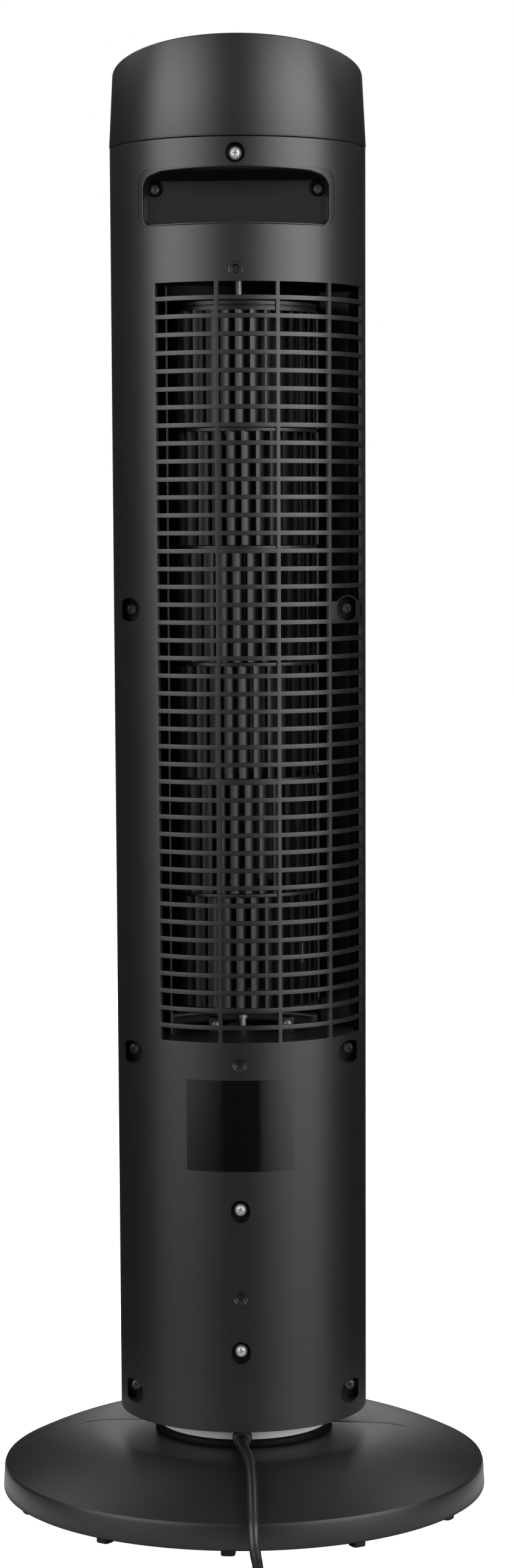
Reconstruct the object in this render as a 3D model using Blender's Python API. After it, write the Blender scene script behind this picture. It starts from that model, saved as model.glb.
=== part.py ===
"""Tower fan: a round two-part base, an oscillating column with a cross-flow impeller, and its mains lead.

The origin is at the centre of the base where it stands. +Z is up, the air leaves towards -Y and
enters through the grille on the +Y side. Lengths are in metres. Angles round the column are in
degrees from +Y, positive towards -X.
"""
import math

import bmesh
import bpy
from mathutils import Matrix, Vector

GAP = 0.0003

# Column
BODY_R = 0.0785
WALL = 0.0025
BODY_BOTTOM = 0.0574
CAP_SEAM = 0.8432
PLATE_R = 0.0743

# Inlet grille in the rear casing
ROWS = 43
ROW_PITCH = 0.01071
BAR_H = 0.0028
GRILLE_TOP = 0.7588
GRILLE_LEFT = -38.5
GRILLE_RIGHT = 76.0
RIBS = (-8.6, 18.6, 45.8)
RIB_HALF = 0.9

# Outlet in the front casing
OUTLET_HALF = 46.0
OUTLET_BOTTOM = 0.3010
OUTLET_TOP = 0.7588
SLATS = 9

# Grip recess
GRIP_HALF_W = 0.0588
GRIP_BOTTOM = 0.7919
GRIP_TOP = 0.8261
GRIP_CORNER = 0.0070
GRIP_BACK_Y = 0.0500

# Top cap and panel
CAP_R_LOW = 0.07875
CAP_R_TOP = 0.0764
CAP_WALL = 0.0024
PANEL_Z = 0.8868
PANEL_SLOPE = math.radians(12.2)
PANEL_DROP = 0.0012
PANEL_T = 0.0025
PANEL_R = 0.0728
BUTTON_R = 0.0055
BUTTON_X = (-0.033, -0.011, 0.011, 0.033)
BUTTON_V = -0.034

# Impeller
IMPELLER_R = 0.0487
BLADE_INNER_R = 0.0415
BLADES = 34
BLADE_SWEEP = 15.0
BLADE_T = 1.3
SEGMENTS = 6
SEGMENT_PITCH = 0.0711
FIRST_DISC_LOW = 0.6713
IMPELLER_TOP = 0.7500
END_DISC = 0.0060
DISC = 0.0025
STAGGER = 4.0

# Turntable and gears
HUB_R = 0.0544
STEM_R = 0.0220
FLOOR_BOTTOM = 0.0603
FLOOR_T = 0.0030
GEAR_MODULE = 0.00125
GEAR_TEETH = 48
PINION_TEETH = 12
GEAR_BACKLASH = 0.00015
PINION_ANGLE = 145.0

# Base
BASE_R = 0.1546
BASE_TURN = -2.8
FOOT_H = 0.0048
RIM_TOP = 0.0205
PLATEAU_R = 0.0905
PLATEAU_Z = 0.0420
DOME_BULGE = 0.0040
SEAM_Y = -0.0070
FOOT_ANGLES = (0.0, 32.0, 64.0, -32.0, -64.0)
FOOT_R = 0.0045
FOOT_CIRCLE = 0.1450

# Screws that face the back: name, x, z, y of the head's seat, bore radius, boss radius
REAR_SCREWS = (
    ("casing_screw_top", 0.0, 0.8337, 0.0705, 0.0055, 0.0072),
    ("casing_screw_middle", 0.0, 0.1966, 0.0705, 0.0058, 0.0075),
    ("casing_screw_bottom", 0.0, 0.1078, 0.0705, 0.0058, 0.0075),
    ("casing_screw_left_upper", 0.0668, 0.5640, 0.0215, 0.0062, 0.0076),
    ("casing_screw_right_upper", -0.0668, 0.5640, 0.0215, 0.0062, 0.0076),
    ("casing_screw_left_middle", 0.0674, 0.2900, 0.0215, 0.0060, 0.0075),
    ("casing_screw_right_middle", -0.0674, 0.2900, 0.0215, 0.0060, 0.0075),
    ("casing_screw_left_lower", 0.0678, 0.0742, 0.0215, 0.0058, 0.0074),
    ("casing_screw_right_lower", -0.0678, 0.0742, 0.0215, 0.0058, 0.0074),
)
BOSS_FLOOR = 0.0030
PILOT_R = 0.0024
GRIP_SCREWS = (("grip_screw_left", 0.0490), ("grip_screw_right", -0.0490))
GRIP_SCREW_Z = 0.8155

# Mains lead
CORD_D = 0.0068
COIL_CENTRE = (0.0306, 0.2900)
COIL_TURN_R = (0.0285, 0.0421)
COIL_LAYERS = 2
RELIEF_Y = 0.0547
EXIT_Z = 0.0485
CORD_ROUTE = (
    (0.0000, 0.0634, 0.0485),
    (0.0000, 0.0680, 0.0485),
    (-0.0014, 0.0780, 0.0470),
    (-0.0036, 0.0890, 0.0463),
    (-0.0054, 0.1014, 0.0450),
    (-0.0066, 0.1164, 0.0418),
    (-0.0074, 0.1311, 0.0369),
    (-0.0079, 0.1450, 0.0311),
    (-0.0083, 0.1569, 0.0243),
    (-0.0088, 0.1640, 0.0140),
    (-0.0098, 0.1700, 0.0074),
    (-0.0110, 0.1800, 0.0046),
    (-0.0118, 0.1960, 0.0036),
    (-0.0120, 0.2120, 0.0036),
    (-0.0118, 0.2300, 0.0036),
    (-0.0116, 0.2480, 0.0036),
    (-0.0115, 0.2646, 0.0036),
)


def start_empty():
    """Remove whatever the open file holds."""
    for item in list(bpy.data.objects):
        bpy.data.objects.remove(item, do_unlink=True)


MATERIALS = {}


def material(name, colour, roughness, metallic=0.0):
    """Return a Principled material, made once."""
    if name not in MATERIALS:
        made = bpy.data.materials.new(name)
        made.use_nodes = True
        shader = made.node_tree.nodes["Principled BSDF"]
        shader.inputs["Base Color"].default_value = (*colour, 1.0)
        shader.inputs["Roughness"].default_value = roughness
        shader.inputs["Metallic"].default_value = metallic
        MATERIALS[name] = made
    return MATERIALS[name]


def black_plastic():
    return material("black_plastic", (0.030, 0.030, 0.031), 0.55)


def black_rubber():
    return material("black_rubber", (0.020, 0.020, 0.020), 0.75)


def gloss_black():
    return material("gloss_black", (0.012, 0.012, 0.013), 0.12)


def impeller_plastic():
    return material("impeller_plastic", (0.085, 0.082, 0.080), 0.45)


def grey_plastic():
    return material("grey_plastic", (0.60, 0.60, 0.59), 0.40)


def steel():
    return material("steel", (0.70, 0.70, 0.70), 0.25, 1.0)


def black_steel():
    return material("black_steel", (0.03, 0.03, 0.03), 0.35, 1.0)


def board_green():
    return material("board_green", (0.03, 0.16, 0.07), 0.50)


def round_point(angle, radius, z):
    """Return the point at an angle round the column."""
    turn = math.radians(angle)
    return Vector((-radius * math.sin(turn), radius * math.cos(turn), z))


def finish(name, bm, look, smooth_angle=35.0):
    """Clean a bmesh and link it to the scene as a named object."""
    bmesh.ops.remove_doubles(bm, verts=bm.verts, dist=1e-6)
    bmesh.ops.recalc_face_normals(bm, faces=bm.faces)
    mesh = bpy.data.meshes.new(name)
    bm.to_mesh(mesh)
    bm.free()
    mesh.shade_smooth()
    mesh.set_sharp_from_angle(angle=math.radians(smooth_angle))
    made = bpy.data.objects.new(name, mesh)
    bpy.context.scene.collection.objects.link(made)
    if look:
        mesh.materials.append(look)
    return made


def turned_bmesh(profile, steps=48, closed=True):
    """Spin a profile of (radius, z) points a full turn about Z."""
    bm = bmesh.new()
    verts = [bm.verts.new((r, 0.0, z)) for r, z in profile]
    count = len(verts) if closed else len(verts) - 1
    edges = [bm.edges.new((verts[i], verts[(i + 1) % len(verts)])) for i in range(count)]
    bmesh.ops.spin(bm, geom=verts + edges, cent=(0, 0, 0), axis=(0, 0, 1),
                   angle=2 * math.pi, steps=steps, use_merge=True)
    bmesh.ops.remove_doubles(bm, verts=bm.verts, dist=1e-6)
    bmesh.ops.dissolve_degenerate(bm, edges=bm.edges, dist=1e-7)
    bmesh.ops.recalc_face_normals(bm, faces=bm.faces)
    return bm


def turned(name, profile, look, steps=48, closed=True):
    return finish(name, turned_bmesh(profile, steps, closed), look)


def cylinder_profile(radius, low, high):
    """Return the open profile of a solid cylinder."""
    return ((0.0, high), (radius, high), (radius, low), (0.0, low))


def extruded_bmesh(outline, low, high):
    """Extrude an outline of (x, y) points from z = low to z = high."""
    bm = bmesh.new()
    face = bm.faces.new([bm.verts.new((x, y, low)) for x, y in outline])
    moved = bmesh.ops.extrude_face_region(bm, geom=[face])
    top = [v for v in moved["geom"] if isinstance(v, bmesh.types.BMVert)]
    bmesh.ops.translate(bm, verts=top, vec=(0, 0, high - low))
    if len(bm.faces) < len(outline) + 2:
        bmesh.ops.holes_fill(bm, edges=[e for e in bm.edges if e.is_boundary], sides=0)
    bmesh.ops.recalc_face_normals(bm, faces=bm.faces)
    return bm


def box_bmesh(low, high):
    outline = ((low[0], low[1]), (high[0], low[1]), (high[0], high[1]), (low[0], high[1]))
    return extruded_bmesh(outline, low[2], high[2])


def rounded_rectangle(half_w, low, high, corner, steps=4):
    """Return the points of a rounded rectangle, centred on x = 0."""
    points = []
    centres = ((half_w - corner, high - corner, 0), (corner - half_w, high - corner, 90),
               (corner - half_w, low + corner, 180), (half_w - corner, low + corner, 270))
    for cx, cz, first in centres:
        for step in range(steps + 1):
            turn = math.radians(first + 90.0 * step / steps)
            points.append((cx + corner * math.cos(turn), cz + corner * math.sin(turn)))
    return points


def slab_along_y(outline, near, far):
    """Extrude an (x, z) outline along Y between two planes."""
    bm = extruded_bmesh([(x, -z) for x, z in outline], near, far)
    bmesh.ops.rotate(bm, verts=bm.verts, cent=(0, 0, 0), matrix=Matrix.Rotation(math.radians(-90), 3, "X"))
    return bm


def rod_along_y(x, z, radius, near, far, steps=16):
    """Return a cylinder along Y from y = near to y = far."""
    outline = [(x + radius * math.cos(2 * math.pi * i / steps), z + radius * math.sin(2 * math.pi * i / steps))
               for i in range(steps)]
    return slab_along_y(outline, near, far)


def joined(parts):
    """Join several bmeshes into one, as separate bodies."""
    whole = bmesh.new()
    for part in parts:
        mesh = bpy.data.meshes.new("part_of_tool")
        part.to_mesh(mesh)
        part.free()
        whole.from_mesh(mesh)
        bpy.data.meshes.remove(mesh)
    return whole


def tool(name, bm):
    """Make a hidden tool object for Boolean modifiers."""
    made = finish(name, bm, None)
    made.hide_render = True
    made.display_type = "WIRE"
    return made


def boolean(target, operand, operation):
    """Add an exact Boolean modifier."""
    cut = target.modifiers.new(operand.name, "BOOLEAN")
    cut.operation = operation
    cut.solver = "EXACT"
    cut.object = operand
    return cut


# Wall panels on a grid of angles and heights ------------------------------------------------------

def wall_panel_bmesh(angles, heights, outer, inner, is_open=None):
    """Build a curved wall between two radii, with cells left out where is_open says so."""
    bm = bmesh.new()
    grid = {}
    for i, angle in enumerate(angles):
        for j, z in enumerate(heights):
            grid[i, j, 0] = bm.verts.new(round_point(angle, outer(angle), z))
            grid[i, j, 1] = bm.verts.new(round_point(angle, inner(angle), z))
    columns = len(angles) - 1
    rows = len(heights) - 1

    def solid(i, j):
        inside = 0 <= i < columns and 0 <= j < rows
        return inside and not (is_open and is_open(i, j))

    for i in range(columns):
        for j in range(rows):
            if not solid(i, j):
                continue
            for side in (0, 1):
                bm.faces.new([grid[i, j, side], grid[i + 1, j, side],
                              grid[i + 1, j + 1, side], grid[i, j + 1, side]])
            if not solid(i - 1, j):
                bm.faces.new([grid[i, j, 0], grid[i, j + 1, 0], grid[i, j + 1, 1], grid[i, j, 1]])
            if not solid(i + 1, j):
                bm.faces.new([grid[i + 1, j, 0], grid[i + 1, j + 1, 0],
                              grid[i + 1, j + 1, 1], grid[i + 1, j, 1]])
            if not solid(i, j - 1):
                bm.faces.new([grid[i, j, 0], grid[i + 1, j, 0], grid[i + 1, j, 1], grid[i, j, 1]])
            if not solid(i, j + 1):
                bm.faces.new([grid[i, j + 1, 0], grid[i + 1, j + 1, 0],
                              grid[i + 1, j + 1, 1], grid[i, j + 1, 1]])
    loose = [v for v in bm.verts if not v.link_faces]
    bmesh.ops.delete(bm, geom=loose, context="VERTS")
    bmesh.ops.recalc_face_normals(bm, faces=bm.faces)
    bmesh.ops.dissolve_limit(bm, angle_limit=math.radians(0.2), verts=bm.verts, edges=bm.edges)
    return bm


def evenly(start, end, parts):
    """Return evenly spaced values from start to end, both included."""
    return [start + (end - start) * i / parts for i in range(parts + 1)]


def rear_angles():
    """Return the rear casing's angle lines and the cells of each grille column."""
    lines = evenly(-89.7, GRILLE_LEFT, 4)
    open_cells = set()
    edges = [GRILLE_LEFT]
    for rib in RIBS:
        edges += [rib - RIB_HALF, rib + RIB_HALF]
    edges.append(GRILLE_RIGHT)
    for left, right in zip(edges[0::2], edges[1::2]):
        if abs(lines[-1] - left) > 1e-6:
            lines.append(left)
        first = len(lines) - 1
        lines += evenly(left, right, 2)[1:]
        open_cells.update((first, first + 1))
    lines.append(89.7)
    return lines, open_cells


def rear_heights():
    """Return the rear casing's height lines, from below, and which rows are openings."""
    lines = [BODY_BOTTOM]
    opening = GRILLE_TOP - (ROWS - 1) * ROW_PITCH
    open_rows = set()
    for row in range(ROWS):
        low = opening + row * ROW_PITCH - (ROW_PITCH - BAR_H)
        open_rows.add(len(lines))
        lines += [low, low + ROW_PITCH - BAR_H]
    lines.append(CAP_SEAM - GAP / 2)
    return lines, open_rows


def rear_casing():
    """Model the rear half of the column, with the inlet grille moulded in."""
    angles, open_columns = rear_angles()
    heights, open_rows = rear_heights()
    bm = wall_panel_bmesh(angles, heights, lambda a: BODY_R, lambda a: BODY_R - WALL,
                          lambda i, j: i in open_columns and j in open_rows)
    casing = finish("rear_casing", bm, black_plastic())
    bosses = [rod_along_y(x, z, boss, seat - BOSS_FLOOR, BODY_R + 0.002, 12)
              for _, x, z, seat, _, boss in REAR_SCREWS]
    boss_tool = tool("casing_boss_tool", joined(bosses))
    inside = tool("casing_inside_tool",
                  turned_bmesh(cylinder_profile(BODY_R - 0.0014, 0.02, CAP_SEAM - 0.001), 48, False))
    boolean(boss_tool, inside, "INTERSECT")
    bores = [rod_along_y(x, z, bore, seat, BODY_R + 0.01, 12) for _, x, z, seat, bore, _ in REAR_SCREWS]
    pilots = [rod_along_y(x, z, PILOT_R, seat - 0.02, seat + 0.001, 12)
              for _, x, z, seat, _, _ in REAR_SCREWS]
    boolean(casing, boss_tool, "UNION")
    boolean(casing, tool("casing_bore_tool", joined(bores)), "DIFFERENCE")
    boolean(casing, tool("casing_pilot_tool", joined(pilots)), "DIFFERENCE")
    grip = tool("grip_opening_tool", slab_along_y(
        rounded_rectangle(GRIP_HALF_W, GRIP_BOTTOM, GRIP_TOP, GRIP_CORNER), 0.030, 0.100))
    boolean(casing, grip, "DIFFERENCE")


def front_casing():
    """Model the front half of the column, with the tall outlet opening and the screw posts."""
    angles = evenly(90.0, 180.0 - OUTLET_HALF, 4) + evenly(180.0 - OUTLET_HALF, 180.0 + OUTLET_HALF, 7)[1:]
    angles += evenly(180.0 + OUTLET_HALF, 270.0, 4)[1:]
    heights = [BODY_BOTTOM, OUTLET_BOTTOM, OUTLET_TOP, CAP_SEAM - GAP / 2]
    bm = wall_panel_bmesh(angles, heights, lambda a: BODY_R, lambda a: BODY_R - WALL,
                          lambda i, j: j == 1 and 4 <= i < 11)
    casing = finish("front_casing", bm, black_plastic())
    posts = []
    webs = []
    holes = []
    for _, x, z, seat, _, _ in REAR_SCREWS:
        if x == 0.0:
            continue
        side = math.copysign(1.0, x)
        posts.append(rod_along_y(x, z, 0.0048, -0.012, seat - BOSS_FLOOR - GAP, 12))
        xs = sorted((x, side * (BODY_R - 0.0015)))
        webs.append(box_bmesh((xs[0], -0.0115, z - 0.0012), (xs[1], -0.0015, z + 0.0012)))
        holes.append(rod_along_y(x, z, PILOT_R, -0.004, seat, 12))
    boolean(casing, tool("front_web_tool", joined(webs)), "UNION")
    boolean(casing, tool("front_post_tool", joined(posts)), "UNION")
    boolean(casing, tool("front_hole_tool", joined(holes)), "DIFFERENCE")


def outlet_grille():
    """Model the front grille: upright slats between cross bars, in a frame."""
    half = OUTLET_HALF - 0.3
    frame = 2.2
    slat = 0.8
    angles = [180.0 - half]
    pitch = (2 * half - 2 * frame) / SLATS
    open_columns = set()
    for column in range(SLATS):
        left = 180.0 - half + frame + column * pitch
        angles.append(left + (slat if column else 0.0))
        open_columns.add(len(angles) - 1)
        angles.append(left + pitch - (slat if column < SLATS - 1 else 0.0))
    angles.append(180.0 + half)
    low = OUTLET_BOTTOM + GAP
    high = OUTLET_TOP - GAP
    bars = 3
    edge = 0.004
    row = (high - low - 2 * edge) / bars
    heights = [low]
    open_rows = set()
    for index in range(bars):
        open_rows.add(len(heights))
        base = low + edge + index * row
        heights += [base + (0.0012 if index else 0.0), base + row - (0.0012 if index < bars - 1 else 0.0)]
    heights.append(high)
    bm = wall_panel_bmesh(angles, heights, lambda a: BODY_R, lambda a: BODY_R - 0.0045,
                          lambda i, j: i in open_columns and j in open_rows)
    finish("outlet_grille", bm, black_plastic())


def grip_pocket():
    """Model the tray behind the grip opening, with its two screw cups."""
    outer = slab_along_y(rounded_rectangle(0.0582, 0.7905, 0.8240, 0.0060),
                         GRIP_BACK_Y - 0.0030, 0.0752)
    tray = finish("grip_pocket", outer, black_plastic())
    inside = tool("grip_inside_tool",
                  turned_bmesh(cylinder_profile(BODY_R - WALL - 0.0009, 0.70, CAP_SEAM), 64, False))
    boolean(tray, inside, "INTERSECT")
    cups = [rod_along_y(side * GRIP_SCREWS[0][1], GRIP_SCREW_Z, 0.0070, GRIP_BACK_Y - 0.0110,
                        GRIP_BACK_Y - 0.0010) for side in (1, -1)]
    boolean(tray, tool("grip_cup_tool", joined(cups)), "UNION")
    pocket = tool("grip_pocket_tool", slab_along_y(
        rounded_rectangle(0.0562, 0.7930, 0.8210, 0.0045), GRIP_BACK_Y, 0.100))
    boolean(tray, pocket, "DIFFERENCE")
    wells = [rod_along_y(side * GRIP_SCREWS[0][1], GRIP_SCREW_Z, 0.0050, GRIP_BACK_Y - 0.0080,
                         GRIP_BACK_Y + 0.0040) for side in (1, -1)]
    boolean(tray, tool("grip_well_tool", joined(wells)), "DIFFERENCE")
    pilots = [rod_along_y(side * GRIP_SCREWS[0][1], GRIP_SCREW_Z, PILOT_R, 0.020,
                          GRIP_BACK_Y - 0.0070, 12) for side in (1, -1)]
    boolean(tray, tool("grip_pilot_tool", joined(pilots)), "DIFFERENCE")


SCREW_PROFILE = ((0.0, 0.0027), (0.0041, 0.0013), (0.0041, 0.0), (0.0019, 0.0), (0.0019, -0.0130),
                 (0.0, -0.0140))


def rear_screw(name, x, seat, z, look, scale=1.0):
    """Place one cross-head screw that is driven from the back."""
    profile = [(r * scale, h) for r, h in SCREW_PROFILE]
    screw = turned(name, profile, look, 12, False)
    screw.location = (x, seat + GAP, z)
    screw.rotation_euler = (math.radians(-90), 0.0, 0.0)


def screws():
    for name, x, z, seat, _, _ in REAR_SCREWS:
        rear_screw(name, x, seat, z, steel() if x == 0.0 else black_steel())
    for name, x in GRIP_SCREWS:
        rear_screw(name, x, GRIP_BACK_Y - 0.0080, GRIP_SCREW_Z, black_steel(), 0.85)


def label_plate():
    """Model the smooth rating plate as a thin curved plate on the rear casing."""
    bm = wall_panel_bmesh(evenly(-24.6, 24.6, 8), [0.2215, 0.2781], lambda a: BODY_R + 0.0008,
                          lambda a: BODY_R + GAP)
    finish("label_plate", bm, gloss_black())


# Air duct -----------------------------------------------------------------------------------------

def scroll_wall():
    """Model the scroll, whose radius grows from the inlet's edge round to the outlet."""
    start = -50.0
    end = -180.0 + OUTLET_HALF + 1.0

    def outer(angle):
        share = (angle - start) / (end - start)
        return 0.0570 + (0.0742 - 0.0570) * share ** 2.6

    bm = wall_panel_bmesh(evenly(start, end, 12), [OUTLET_BOTTOM, OUTLET_TOP], outer,
                          lambda a: outer(a) - 0.0015)
    finish("scroll_wall", bm, black_plastic())


def tongue_wall():
    """Model the wall that parts inlet from outlet, nearest the impeller at its middle."""
    start = 101.0
    end = 180.0 - OUTLET_HALF - 1.0

    def outer(angle):
        share = (angle - start) / (end - start)
        return 0.0742 - 0.0185 * math.sin(math.pi * share) ** 1.5

    bm = wall_panel_bmesh(evenly(start, end, 12), [OUTLET_BOTTOM, OUTLET_TOP], outer,
                          lambda a: outer(a) - 0.0015)
    finish("tongue_wall", bm, black_plastic())


def duct_plates():
    """Model the plates that close the duct above and below the impeller."""
    def plate(name, low, high, hole):
        profile = ((hole, high), (PLATE_R - 0.001, high), (PLATE_R - 0.001, low), (hole, low))
        turned(name, profile, black_plastic(), 36)

    plate("duct_top_plate", OUTLET_TOP + GAP, OUTLET_TOP + GAP + 0.0025, 0.0105)
    plate("duct_bottom_plate", OUTLET_BOTTOM - GAP - 0.0025, OUTLET_BOTTOM - GAP, 0.0120)


def upper_bearing():
    """Model the rubber-mounted bush that holds the impeller's top shaft."""
    low = OUTLET_TOP - 0.0005
    profile = ((0.0026, low + 0.0070), (0.0060, low + 0.0070), (0.0102, low + 0.0040),
               (0.0102, low), (0.0026, low))
    turned("upper_bearing", profile, black_rubber(), 16)


# Impeller -----------------------------------------------------------------------------------------

def disc_low(index):
    """Return the lower face of a segment's disc, where its blades start."""
    if index == 0:
        return IMPELLER_TOP - END_DISC
    return FIRST_DISC_LOW - (index - 1) * SEGMENT_PITCH


def impeller_segment(index):
    """Model one moulding of the impeller: a ring disc with its slanted blades in one piece."""
    top = disc_low(index)
    disc_top = IMPELLER_TOP if index == 0 else top + DISC
    low = disc_low(index + 1) + DISC + GAP
    step = 360.0 / BLADES
    bm = bmesh.new()

    def corner(blade, edge, ring, z):
        radius = BLADE_INNER_R if ring else IMPELLER_R
        grow = edge * BLADE_T * (IMPELLER_R / radius) * (1.35 if ring else 2.0)
        sweep = BLADE_SWEEP if ring else 0.0
        return bm.verts.new(round_point(index * STAGGER + blade * step + sweep + grow, radius, z))

    levels = (disc_top, top, low)
    at = {(b, e, r, k): corner(b, e, r, z) for b in range(BLADES) for e in (0, 1) for r in (0, 1)
          for k, z in enumerate(levels)}
    for b in range(BLADES):
        after = (b + 1) % BLADES
        for first, second, blade in (((b, 0), (b, 1), True), ((b, 1), (after, 0), False)):
            def quad(*keys):
                bm.faces.new([at[key] for key in keys])
            quad((*first, 0, 0), (*second, 0, 0), (*second, 1, 0), (*first, 1, 0))
            for ring in (0, 1):
                quad((*first, ring, 0), (*second, ring, 0), (*second, ring, 1), (*first, ring, 1))
                if blade:
                    quad((*first, ring, 1), (*second, ring, 1), (*second, ring, 2), (*first, ring, 2))
            if blade:
                quad((*first, 0, 2), (*second, 0, 2), (*second, 1, 2), (*first, 1, 2))
                for side in (first, second):
                    quad((*side, 0, 1), (*side, 1, 1), (*side, 1, 2), (*side, 0, 2))
            else:
                quad((*first, 0, 1), (*second, 0, 1), (*second, 1, 1), (*first, 1, 1))
    finish("impeller_segment_%d" % (index + 1), bm, impeller_plastic())


def impeller():
    """Model the impeller's six segments, its end discs and its shafts."""
    for index in range(SEGMENTS):
        impeller_segment(index)
    hole = BLADE_INNER_R - 0.0006
    top_profile = ((0.0, 0.7650), (0.0022, 0.7650), (0.0022, IMPELLER_TOP + 0.0030),
                   (0.0090, IMPELLER_TOP + 0.0030), (0.0110, IMPELLER_TOP), (hole, IMPELLER_TOP - 0.0010),
                   (hole, IMPELLER_TOP - 0.0040), (0.0, IMPELLER_TOP - 0.0040))
    turned("impeller_top_shaft", top_profile, steel(), 24, False)
    bottom = disc_low(SEGMENTS) + DISC
    disc = ((0.0, bottom), (IMPELLER_R, bottom), (IMPELLER_R, bottom - 0.0040), (0.0110, bottom - 0.0040),
            (0.0110, bottom - 0.0095), (0.0025, bottom - 0.0105), (0.0025, 0.2420), (0.0, 0.2420))
    turned("impeller_drive_shaft", disc, impeller_plastic(), 24, False)


def fan_motor():
    """Model the motor can that hangs under the lower duct plate."""
    top = OUTLET_BOTTOM - 2 * GAP - 0.0025
    profile = ((0.0032, top), (0.0300, top), (0.0340, top - 0.0040), (0.0340, top - 0.0500),
               (0.0290, top - 0.0540), (0.0032, top - 0.0540))
    turned("fan_motor", profile, black_steel(), 24)


# Top ----------------------------------------------------------------------------------------------

def slanted(bm):
    """Tilt geometry from the level into the panel's plane, high at the back."""
    bmesh.ops.rotate(bm, verts=bm.verts, cent=(0, 0, 0), matrix=Matrix.Rotation(PANEL_SLOPE, 3, "X"))
    bmesh.ops.translate(bm, verts=bm.verts, vec=(0, 0, PANEL_Z))
    return bm


def slanted_slab(name, low, high):
    """Return a wide tool block between two planes parallel to the panel."""
    return tool(name, slanted(box_bmesh((-0.12, -0.12, low), (0.12, 0.12, high))))


def panel_point(x, v, height):
    """Return the point at x and v along the panel, at a height off its plane."""
    turned_point = Matrix.Rotation(PANEL_SLOPE, 3, "X") @ Vector((x, v, height))
    return turned_point + Vector((0, 0, PANEL_Z))


def top_cap():
    """Model the cap's tapered wall, cut on the slant at its top."""
    low = CAP_SEAM
    high = 0.9200
    fall = (CAP_R_LOW - CAP_R_TOP) / 0.045
    r_high = CAP_R_LOW - fall * (high - low)
    profile = ((r_high, high), (CAP_R_LOW, low + GAP / 2), (CAP_R_LOW - CAP_WALL, low + GAP / 2),
               (r_high - CAP_WALL, high))
    cap = turned("top_cap", profile, black_plastic(), 48)
    boolean(cap, slanted_slab("cap_cut_tool", 0.0, 0.08), "DIFFERENCE")


def control_panel():
    """Model the slanted control panel with its four button holes."""
    panel = turned("control_panel", cylinder_profile(PANEL_R, 0.84, 0.92),
                   gloss_black(), 48, False)
    boolean(panel, slanted_slab("panel_slab_tool", -PANEL_DROP - PANEL_T, -PANEL_DROP), "INTERSECT")
    holes = []
    for x in BUTTON_X:
        hole = turned_bmesh(cylinder_profile(BUTTON_R + 0.0004, -0.02, 0.02), 16, False)
        bmesh.ops.translate(hole, verts=hole.verts, vec=(x, BUTTON_V, 0))
        holes.append(hole)
    boolean(panel, tool("button_hole_tool", slanted(joined(holes))), "DIFFERENCE")


BUTTON_NAMES = ("power_button", "speed_button", "swing_button", "timer_button")


def buttons():
    """Model the push buttons, each with its flange under the panel."""
    flange_top = -PANEL_DROP - PANEL_T - GAP
    profile = ((0.0, -PANEL_DROP + 0.0013), (BUTTON_R, -PANEL_DROP + 0.0010), (BUTTON_R, flange_top),
               (BUTTON_R + 0.0016, flange_top), (BUTTON_R + 0.0016, flange_top - 0.0010),
               (0.0, flange_top - 0.0010))
    for name, x in zip(BUTTON_NAMES, BUTTON_X):
        button = turned(name, profile, gloss_black(), 16, False)
        button.location = panel_point(x, BUTTON_V, 0.0)
        button.rotation_euler = (PANEL_SLOPE, 0.0, 0.0)


def control_board():
    """Model the circuit board under the buttons."""
    board = slanted(box_bmesh((-0.050, -0.048, -0.0100), (0.050, 0.030, -0.0084)))
    finish("control_board", board, board_green())


# Turntable ----------------------------------------------------------------------------------------

def column_floor():
    """Model the plate that closes the column and turns on the hub."""
    profile = ((STEM_R + GAP, FLOOR_BOTTOM + FLOOR_T), (PLATE_R, FLOOR_BOTTOM + FLOOR_T),
               (PLATE_R, FLOOR_BOTTOM), (STEM_R + GAP, FLOOR_BOTTOM))
    turned("column_floor", profile, black_plastic(), 36)


def turntable_hub():
    """Model the pale fixed hub that the column turns on, with its hollow stem."""
    top = FLOOR_BOTTOM - GAP
    low = 0.0463
    profile = ((STEM_R, 0.0688), (STEM_R, low + 0.0025), (HUB_R - 0.0025, low + 0.0025),
               (HUB_R - 0.0025, top), (HUB_R, top), (HUB_R, low), (STEM_R, low),
               (STEM_R, 0.0160), (STEM_R - 0.0030, 0.0160), (STEM_R - 0.0030, 0.0688))
    hub = turned("turntable_hub", profile, grey_plastic(), 36)
    hole = tool("hub_cord_tool", rod_along_y(0.0, EXIT_Z, 0.0044, 0.034, 0.070))
    boolean(hub, hole, "DIFFERENCE")


def tooth_outline(teeth, phase):
    """Return the outline of a gear with straight-sided teeth."""
    pitch_r = GEAR_MODULE * teeth / 2
    points = []
    step = 2 * math.pi / teeth
    for index in range(teeth):
        centre = phase + index * step
        for radius, half in ((pitch_r - 1.2 * GEAR_MODULE, -0.30), (pitch_r + 0.85 * GEAR_MODULE, -0.11),
                             (pitch_r + 0.85 * GEAR_MODULE, 0.11), (pitch_r - 1.2 * GEAR_MODULE, 0.30)):
            points.append((radius * math.cos(centre + half * step), radius * math.sin(centre + half * step)))
    return points


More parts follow.
